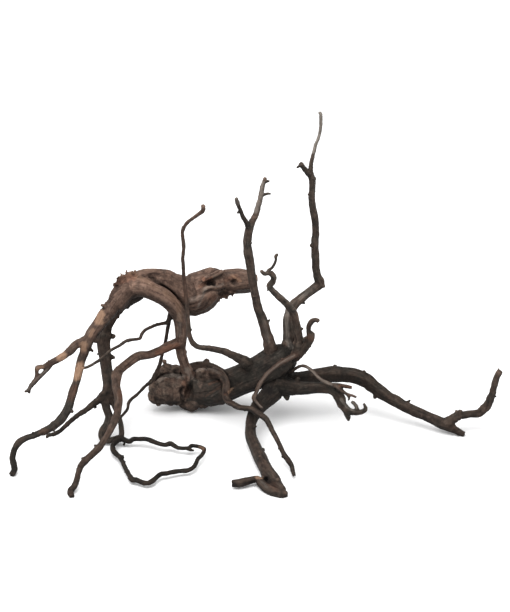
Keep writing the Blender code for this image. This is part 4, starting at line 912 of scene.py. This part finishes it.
class Grain:
    """The centre lines of the branches, for finding how each point lies in the wood around it."""

    def __init__(self, lines):
        self.names = list(lines)
        self.lines = []
        for line in lines.values():
            places = np.array([place for place, _ in line])
            radii = np.array([radius for _, radius in line])
            steps = np.linalg.norm(np.diff(places, axis=0), axis=1)
            along = np.concatenate([[0.0], np.cumsum(steps)])
            ahead = np.gradient(places, axis=0)
            ahead /= np.linalg.norm(ahead, axis=1, keepdims=True)
            sides = np.empty_like(places)
            side = np.array([0.0, 0.0, 1.0])
            for number, way in enumerate(ahead):
                side = side - way * side.dot(way)
                side /= np.linalg.norm(side)
                sides[number] = side
            self.lines.append((places, radii, along, sides, np.cross(ahead, sides)))

    def read(self, places):
        """How each place lies in its branch.

        Gives the branch's number, x and y across it, the way along it and its share of the whole length, the
        radius there, and calm, which is 0 where forms meet and 1 away from there.
        """
        count = len(places)
        spot = {name: np.zeros(count) for name in ("x", "y", "along", "radius", "share")}
        spot["branch"] = np.full(count, BURL)
        best = np.full(count, np.inf)
        rival = np.full(count, np.inf)
        for across, up, depth, radius in BURL_LUMPS:
            free = np.linalg.norm(places - np.array(placed(across, up, depth)), axis=1) - radius * MM
            best = np.minimum(best, free)
        for number, (line, radii, along, sides, others) in enumerate(self.lines):
            near = near_line(places, line, radii.max() + SEARCH)
            for part in np.array_split(near, len(near) // PORTION + 1):
                gap, t = line_gaps(places[part], line)
                free = gap - radii[:-1] - t * np.diff(radii)
                pick = free.argmin(axis=1)
                rows = np.arange(len(part))
                t, free = t[rows, pick], free[rows, pick]
                won = free < best[part]
                rival[part] = np.minimum(rival[part], np.where(won, best[part], free))
                best[part] = np.where(won, free, best[part])
                part, pick, t = part[won], pick[won], t[won]

                def between(values):
                    weight = t if values.ndim == 1 else t[:, None]
                    return values[pick] + weight * (values[pick + 1] - values[pick])

                arm = places[part] - between(line)
                spot["branch"][part] = number
                spot["x"][part] = (arm * between(sides)).sum(axis=1)
                spot["y"][part] = (arm * between(others)).sum(axis=1)
                spot["along"][part] = between(along)
                spot["radius"][part] = between(radii)
                spot["share"][part] = between(along) / along[-1]
        spot["calm"] = np.clip((rival - best) / SEAM, 0, 1)
        return spot


def main_relief(places, spot):
    """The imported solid's relief: lobes and swellings on the branches, swellings and creases on the burl."""
    rise = np.zeros(len(places))
    for number, (place, branch, radius) in enumerate(zip(places, spot["branch"], spot["radius"])):
        if branch == BURL:
            swell = noise.noise(Vector(place / BURL_PITCH))
            crease = abs(noise.noise(Vector(place / (CREASE_PITCH * BURL_PITCH))))
            rise[number] = BURL_RELIEF * (swell - BURL_CREASE * max(0.0, 1 - crease / CREASE_WIDTH))
        else:
            rise[number] = SWELLING * noise.noise(Vector(place / (SWELLING_PITCH * radius)))
    wood = spot["branch"] != BURL
    angle = np.arctan2(spot["y"], spot["x"])
    lobes = sum(
        share * np.sin(count * angle + spot["along"] / (turn * MM) + LOBE_SHIFT * spot["branch"])
        for count, share, turn in LOBES
    )
    return np.where(wood, spot["calm"] * (rise + lobes) * np.minimum(spot["radius"], RELIEF_LIMIT), rise)


def sink_depth(places):
    """How far the hollows and grooves push the surface in."""
    total = np.zeros(len(places))
    for across, up, depth, radius, push in HOLLOWS:
        gap = np.linalg.norm(places - np.array(placed(across, up, depth)), axis=1)
        total += push * MM * dent(gap, radius * MM)
    for groove in GROOVES:
        line = np.array([placed(*point) for point in groove["line"]])
        reach = groove["reach"] * MM
        near = near_line(places, line, reach)
        gaps, _ = line_gaps(places[near], line)
        total[near] += groove["push"] * MM * dent(gaps.min(axis=1), reach)
    return total


def grain_space(places, spot):
    """Points in which the grain runs along Z and bends with the branch, in millimetres, each branch apart."""
    wood = spot["branch"] != BURL
    twist = GRAIN_TWIST * spot["along"] / np.maximum(spot["radius"], THINNEST_TWIST)
    cosine, sine = np.cos(twist), np.sin(twist)
    x, y = spot["x"] / MM, spot["y"] / MM
    points = np.stack([x * cosine - y * sine, x * sine + y * cosine, spot["along"] / MM], axis=1)
    points[:, 0] += GRAIN_SHIFT * spot["branch"]
    bend = np.stack([LAYERS["bend"](places / BEND_PITCH + shift) for shift in BEND_SHIFTS], axis=1)
    burl = (places / MM + BURL_BEND * bend) @ np.array(BURL_GRAIN)
    return np.where(wood[:, None], points, burl)


def fine_relief(places, spot):
    """Fibres, ridges, cracks and bark, in millimetres, which grow weaker on the thinnest twigs."""
    wood = spot["branch"] != BURL
    grain = grain_space(places, spot)
    thick = np.clip(np.where(wood, spot["radius"], BURL_THICKNESS) / THICK_WOOD, THIN_SHARE, 1)
    stretch = np.where(wood, RELIEF_STRETCH, BURL_RELIEF_STRETCH)[:, None]
    long_way = grain * np.concatenate([np.ones_like(grain[:, :2]), stretch], axis=1)
    ridges = LAYERS["ridges"](long_way / RIDGE_PITCH)
    fibres = LAYERS["fibres"](long_way / FIBRE_PITCH)
    shift = CRACK_BEND * LAYERS["bend"](places / CRACK_BEND_PITCH)
    cracks = np.abs(LAYERS["cracks"](long_way / CRACK_PITCH + shift[:, None]))
    cracked = np.clip(CRACK_PATCH_EDGE * LAYERS["where"](places / CRACK_PATCH_PITCH), 0, 1)
    bark = LAYERS["bark"].rough(places / (BARK_PITCH * MM), 2)
    wrinkles = LAYERS["wrinkles"](long_way / WRINKLE_PITCH)
    rise = np.where(wood, thick, BURL_RIDGES) * RIDGE_HEIGHT * ridges
    rise += (THIN_FIBRES + (1 - THIN_FIBRES) * thick) * (FIBRE_HEIGHT * fibres + BARK_HEIGHT * bark)
    rise -= thick * CRACK_DEPTH * cracked * np.clip(1 - cracks / CRACK_WIDTH, 0, 1)
    rise += np.where(wood, 0, WRINKLE_HEIGHT * wrinkles)
    return rise * (SEAM_RELIEF + (1 - SEAM_RELIEF) * spot["calm"])


def seen_from_front(places, normals):
    """Arrays of across, up and depth, the reverse of placed, and of how far each place faces the eye."""
    eye = np.array(EYE)
    points = places / MM + np.array([*ORIGIN, 0.0])
    ray = points - eye
    seen = eye + ray * (SIGHT_DISTANCE / (ray @ np.array([0, COSINE, -SINE])))[:, None]
    up = SINE * seen[:, 1] + COSINE * seen[:, 2]
    facing = -(ray * normals).sum(axis=1) / np.linalg.norm(ray, axis=1)
    return seen[:, 0], up, points[:, 1], np.clip(FACING_EDGE * facing, 0, 1)


def stroke_gap(seen, depth, reach, line):
    """The numbers of the places near a stroke, and their distance from its line."""
    front = np.stack(seen[:2], axis=1)
    line = np.array(line, float)
    near = near_line(front, line, reach)
    near = near[np.abs(seen[2][near] - depth) < DEPTH_WINDOW]
    return near, line_gaps(front[near], line)[0].min(axis=1)


def fold_depth(seen):
    """How far the folds push the surface in, in millimetres."""
    total = np.zeros(len(seen[0]))
    for depth, reach, push, line in FOLDS:
        near, gap = stroke_gap(seen, depth, reach, line)
        total[near] += push * seen[3][near] * dent(gap, reach)
    return total


def colour_strokes(strokes, seen, wobble):
    """How strongly the strokes colour each place, with uneven edges."""
    best = np.zeros(len(seen[0]))
    for depth, reach, strength, line in strokes:
        near, gap = stroke_gap(seen, depth, STROKE_REACH * reach, line)
        share = np.clip(STROKE_EDGE * (1 + wobble[near] - gap / reach), 0, 1) * seen[3][near]
        best[near] = np.maximum(best[near], strength * share)
    return best


def carve_relief(wood, grain):
    """Presses the solid's relief and the fine relief into the skin, and keeps it above the ground."""
    places, normals = places_and_normals(wood)
    spot = grain.read(places)
    rise = main_relief(places, spot) - sink_depth(places)
    rise += MM * (fine_relief(places, spot) - fold_depth(seen_from_front(places, normals)))
    places += normals * rise[:, None]
    places[:, 2] = np.maximum(places[:, 2], 0)
    wood.data.vertices.foreach_set("co", places.astype(np.float32).ravel())
    wood.data.update()


def neighbour_mean(values, edges, count):
    """Each vertex's mean over its neighbours."""
    degree = np.bincount(edges.ravel(), minlength=count)
    total = np.zeros((count, values.shape[1]))
    for column in range(values.shape[1]):
        total[:, column] += np.bincount(edges[:, 0], values[edges[:, 1], column], count)
        total[:, column] += np.bincount(edges[:, 1], values[edges[:, 0], column], count)
    return total / np.maximum(degree, 1)[:, None]


def crests(places, normals, edges):
    """How far each place stands out from the wood round it, from about -1 to 1."""
    mean = places
    for _ in range(CREST_STEPS):
        mean = neighbour_mean(mean, edges, len(places))
    stand = ((places - mean) * normals).sum(axis=1)
    stand -= stand.mean()
    return np.clip(stand / (2 * stand.std()), -1, 1)


def cavities(wood, places, normals, edges):
    """How much of the view from each place is closed off by wood close by, from 0 to 1."""
    tree = bvhtree.BVHTree.FromObject(wood, bpy.context.evaluated_depsgraph_get())
    draw = np.random.default_rng(CAVITY_SEED)
    shut = np.zeros(len(places))
    starts = places + normals * CAVITY_START * MM
    for _ in range(CAVITY_RAYS):
        ways = draw.normal(size=(len(places), 3))
        ways = normals + CAVITY_SPREAD * ways / np.linalg.norm(ways, axis=1, keepdims=True)
        ways /= np.linalg.norm(ways, axis=1, keepdims=True)
        for number, (start, way) in enumerate(zip(starts.tolist(), ways.tolist())):
            gap = tree.ray_cast(start, way, CAVITY_REACH)[3]
            if gap is not None:
                shut[number] += 1 - gap / CAVITY_REACH
    shut = shut[:, None] / CAVITY_RAYS
    for _ in range(CAVITY_STEPS):
        shut = CAVITY_KEEP * shut + (1 - CAVITY_KEEP) * neighbour_mean(shut, edges, len(places))
    return shut[:, 0]


def tones(spot, names):
    """How red-brown and how bright the wood is, from each branch's thick end to its tip."""
    ends = np.array([TONES.get(name, TONES_ELSEWHERE) for name in names] + [BURL_TONES])[spot["branch"]]
    warmth = ends[:, 0] + (ends[:, 1] - ends[:, 0]) * spot["share"]
    bright = ends[:, 2] + (ends[:, 3] - ends[:, 2]) * spot["share"]
    return warmth, bright


def paint_marks(wood, grain):
    """Point attributes that the material reads: grain coordinates in millimetres, colour masks and masks of
    painted light and shade.
    """
    mesh = wood.data
    places, normals = places_and_normals(wood)
    edges = rows_of(mesh.edges, "vertices", 2, np.int32)
    spot = grain.read(places)
    seen = seen_from_front(places, normals)
    wobble = WOBBLE * LAYERS["wobble"].rough(places / WOBBLE_PITCH)
    warmth, bright = tones(spot, grain.names)
    # Soft normals: the top of the wood gets painted light, its underside painted shade.
    soft_normals = normals
    for _ in range(SOFT_STEPS):
        soft_normals = neighbour_mean(soft_normals, edges, len(places))
    space = grain_space(places, spot)
    space[:, 2] *= np.where(spot["branch"] == BURL, BURL_GRAIN_STRETCH, GRAIN_STRETCH)
    bare_and_highlight, rust, pale_and_highlight, dark_and_shade = (
        colour_strokes(strokes, seen, wobble)
        for strokes in (BARE_AND_HIGHLIGHT_STROKES, RUST_STROKES, PALE_AND_HIGHLIGHT_STROKES, DARK_AND_SHADE_STROKES)
    )
    stand = 0.5 + 0.5 * crests(places, normals, edges)
    relief = np.clip(0.5 + fine_relief(places, spot), 0, 1)
    mottle = np.clip(0.5 + 0.5 * LAYERS["mottle"].rough(places / MOTTLE_PITCH), 0, 1)
    marks = {
        # Bared, rusty and paler strokes; some of the bared and paler ones are painted highlights.
        "wear_and_highlight": (bare_and_highlight, rust, pale_and_highlight),
        # Warmth; crests, for painted highlight and wear on them and painted shade in creases; fine relief,
        # for painted shade in cracks.
        "tone_and_shading": (warmth, stand, relief),
        # Near-black strokes, mostly painted shade; how closed off each place is, for painted shade in
        # hollows; brightness.
        "shade": (dark_and_shade, cavities(wood, places, normals, edges), bright),
        # How far the wood faces up, for painted light on top and painted shade underneath; and mottle.
        "top_light_and_mottle": (0.5 + 0.5 * soft_normals[:, 2], mottle),
    }
    mesh.attributes.new("grain", "FLOAT_VECTOR", "POINT").data.foreach_set("vector", space.ravel())
    for name, channels in marks.items():
        values = np.ones((len(places), 4))
        values[:, :len(channels)] = np.stack(channels, axis=1)
        mesh.attributes.new(name, "FLOAT_COLOR", "POINT").data.foreach_set("color", values.ravel())


class Nodes:
    """Short calls for building a material's node tree."""

    def __init__(self, owner):
        owner.use_nodes = True
        self.tree = owner.node_tree
        self.tree.nodes.clear()

    def add(self, kind, inputs=(), **settings):
        node = self.tree.nodes.new(kind)
        for name, value in settings.items():
            setattr(node, name, value)
        for name, value in dict(inputs).items():
            self.plug(node.inputs[name], value)
        return node

    def plug(self, socket, value):
        if isinstance(value, bpy.types.NodeSocket):
            self.tree.links.new(value, socket)
        else:
            socket.default_value = value

    def channels(self, name):
        """The three channels of a colour attribute."""
        colour = self.add("ShaderNodeAttribute", attribute_name=name).outputs["Color"]
        return list(self.add("ShaderNodeSeparateColor", {"Color": colour}).outputs)

    def noise(self, vector, scale, detail=3.0, roughness=0.6, distortion=0.0):
        return self.add("ShaderNodeTexNoise", {
            "Vector": vector, "Scale": scale, "Detail": detail, "Roughness": roughness,
            "Distortion": distortion,
        }).outputs["Fac"]

    def span(self, value, low, high, out_low=0.0, out_high=1.0):
        return self.add("ShaderNodeMapRange", {
            "Value": value, "From Min": low, "From Max": high, "To Min": out_low, "To Max": out_high,
        }).outputs["Result"]

    def math(self, operation, a, b=0.0):
        return self.add("ShaderNodeMath", {0: a, 1: b}, operation=operation).outputs[0]

    def product(self, value, *others):
        for other in others:
            value = self.math("MULTIPLY", value, other)
        return value

    def mix(self, share, a, b, blend="MIX"):
        node = self.add("ShaderNodeMix", data_type="RGBA", blend_type=blend)
        sockets = {socket.identifier: socket for socket in node.inputs}
        self.plug(sockets["Factor_Float"], share)
        self.plug(sockets["A_Color"], a)
        self.plug(sockets["B_Color"], b)
        return next(socket for socket in node.outputs if socket.identifier == "Result_Color")

    def ramp(self, value, low, high, first, last):
        """Runs from one colour to another while the value runs from low to high."""
        return self.mix(self.span(value, low, high), srgb(*first), srgb(*last))


def srgb(red, green, blue):
    """A colour given as it looks on a screen, from 0 to 255, for a shader socket."""
    def linear(value):
        value /= 255
        return value / 12.92 if value <= 0.04045 else ((value + 0.055) / 1.055) ** 2.4
    return (linear(red), linear(green), linear(blue), 1.0)


def wood_material():
    """Charcoal to red-brown wood with rusty, bared, paler and near-black strokes.

    Crests are paler, partly from wear and partly as painted highlight, and some bared and paler strokes are
    painted highlights. The top of the wood gets painted light; its underside, hollows, creases and cracks
    get painted shade, as do most near-black strokes.
    """
    material = bpy.data.materials.new("driftwood_bark")
    n = Nodes(material)
    grain = n.add("ShaderNodeAttribute", attribute_name="grain").outputs["Vector"]
    bare_and_highlight, rust, pale_and_highlight = n.channels("wear_and_highlight")
    warmth, stand, relief = n.channels("tone_and_shading")
    dark_and_shade, painted_hollow_shade, bright = n.channels("shade")
    painted_top_light, mottle, _ = n.channels("top_light_and_mottle")
    spot = n.add("ShaderNodeTexCoord").outputs["Object"]

    fibres = n.noise(grain, FIBRE_SCALE, detail=4.0, roughness=0.7, distortion=0.3)
    streaks = n.noise(grain, STREAK_SCALE, detail=3.0, roughness=0.65, distortion=0.8)
    blotches = n.noise(spot, BLOTCH_SCALE, detail=4.0, roughness=0.65)
    grit = n.noise(spot, GRIT_SCALE, detail=2.0)

    depth = n.math("ADD", n.product(streaks, 0.5), n.product(blotches, 0.5))
    charcoal = n.ramp(depth, *WOOD_RANGE, *CHARCOAL)
    brown = n.ramp(depth, *WOOD_RANGE, *BROWN)
    warm = n.math("ADD", warmth, n.product(n.math("SUBTRACT", mottle, 0.5), 0.7))
    base = n.mix(n.span(warm, 0.1, 0.9), charcoal, brown)
    # Crests turn paler: partly wear, partly painted highlight.
    base = n.mix(n.product(n.span(stand, 0.6, 0.95), 0.3), base, srgb(*CREST_WEAR_AND_HIGHLIGHT))
    flecks = n.product(n.span(fibres, 0.54, 0.74), n.span(blotches, 0.45, 0.62), 0.5)
    base = n.mix(flecks, base, srgb(*FLECK_COLOUR))
    base = n.mix(rust, base, n.ramp(fibres, 0.35, 0.65, *RUST))
    # Paler wood, and painted highlights along crests and left edges.
    base = n.mix(pale_and_highlight, base, n.ramp(fibres, 0.3, 0.7, *PALE_AND_HIGHLIGHT))
    # Each branch's brightness times painted light on top and painted shade underneath, painted shade in
    # hollows, creases and fine cracks, and the grain.
    light = n.product(
        bright,
        n.span(painted_top_light, 0.25, 0.75, 0.36, 1.2),
        n.span(painted_hollow_shade, 0.05, 0.55, 1.0, 0.25),
        n.span(stand, 0.1, 0.5, 0.6, 1.0),
        n.span(relief, 0.1, 0.5, 0.78, 1.0),
        n.span(fibres, 0.3, 0.55, 0.8, 1.04),
    )
    tone_and_painted_light_colour = n.add("ShaderNodeCombineColor", {"Red": light, "Green": light, "Blue": light}).outputs["Color"]
    base = n.mix(1.0, base, tone_and_painted_light_colour, "MULTIPLY")
    # Bared wood, and painted highlight on the arch's crest.
    base = n.mix(bare_and_highlight, base, n.ramp(fibres, 0.3, 0.7, *BARE_AND_HIGHLIGHT))
    # Darker bands and cut ends, and painted shade in hollows, grooves and under the log's lip.
    base = n.mix(n.product(dark_and_shade, 0.85), base, srgb(*DARK_AND_SHADE))

    height = n.math("ADD", n.product(fibres, 0.6), n.product(grit, 0.3))
    bump = n.add("ShaderNodeBump", {"Strength": BUMP_STRENGTH, "Distance": BUMP_HEIGHT, "Height": height})
    shader = n.add("ShaderNodeBsdfPrincipled", {
        "Base Color": base,
        "Roughness": n.span(fibres, 0.3, 0.7, 0.8, 0.6),
        "Normal": bump.outputs["Normal"],
        "Specular IOR Level": SHINE,
    })
    n.add("ShaderNodeOutputMaterial", {"Surface": shader.outputs["BSDF"]})
    return material


def floor_and_light():
    """The white table, the bright room and the soft lamps of the photograph."""
    bpy.ops.mesh.primitive_plane_add(size=TABLE_SIZE, location=TABLE_PLACE)
    floor = bpy.context.object
    floor.name = "white_table"
    material = bpy.data.materials.new("white_table")
    n = Nodes(material)
    paint = n.add("ShaderNodeBsdfDiffuse", {"Color": (TABLE_WHITE, TABLE_WHITE, TABLE_WHITE, 1)})
    n.add("ShaderNodeOutputMaterial", {"Surface": paint.outputs["BSDF"]})
    floor.data.materials.append(material)

    world = bpy.data.worlds.new("bright_room")
    bpy.context.scene.world = world
    n = Nodes(world)
    background = n.add("ShaderNodeBackground", {"Color": (1, 1, 1, 1), "Strength": ROOM_LIGHT})
    n.add("ShaderNodeOutputWorld", {"Surface": background.outputs["Background"]})

    for name, place, size, power in LAMPS:
        data = bpy.data.lights.new(name, "AREA")
        data.shape = "DISK"
        data.size = size
        data.energy = power
        lamp = bpy.data.objects.new(name, data)
        lamp.location = place
        lamp.rotation_euler = (Vector(LAMP_AIM) - Vector(place)).to_track_quat("-Z", "Y").to_euler()
        bpy.context.scene.collection.objects.link(lamp)


def camera():
    """Stands at the eye of the sight lines, with the photograph's height at the sighting plane."""
    data = bpy.data.cameras.new("camera")
    data.sensor_fit = "VERTICAL"
    data.sensor_height = 36
    data.lens = data.sensor_height * SIGHT_DISTANCE / PICTURE_HEIGHT
    data.clip_start = 0.05
    data.clip_end = 50
    eye = bpy.data.objects.new("camera", data)
    eye.location = Vector([value - shift for value, shift in zip(EYE, (*ORIGIN, 0))]) * MM
    eye.rotation_euler = (math.radians(90) - SIGHT_ELEVATION, 0, 0)
    bpy.context.scene.collection.objects.link(eye)
    bpy.context.scene.camera = eye


LAYERS = {name: Lattice(seed) for name, seed in LAYER_SEEDS.items()}


def main():
    lines = branch_lines(FINE_STEP)
    grain = Grain(lines)
    wood = rough_wood(lines, branch_lines(1.0))
    grow_skin(wood)
    carve_relief(wood, grain)
    thin_out(wood)
    drop_crumbs(wood)
    paint_marks(wood, grain)
    wood.data.materials.clear()
    wood.data.materials.append(wood_material())
    wood.data.shade_smooth()
    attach(wood, "root")
    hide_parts("driftwood_root")
    floor_and_light()
    camera()
    bpy.context.scene.view_settings.view_transform = "Standard"
    bpy.context.scene.view_settings.look = "None"


main()
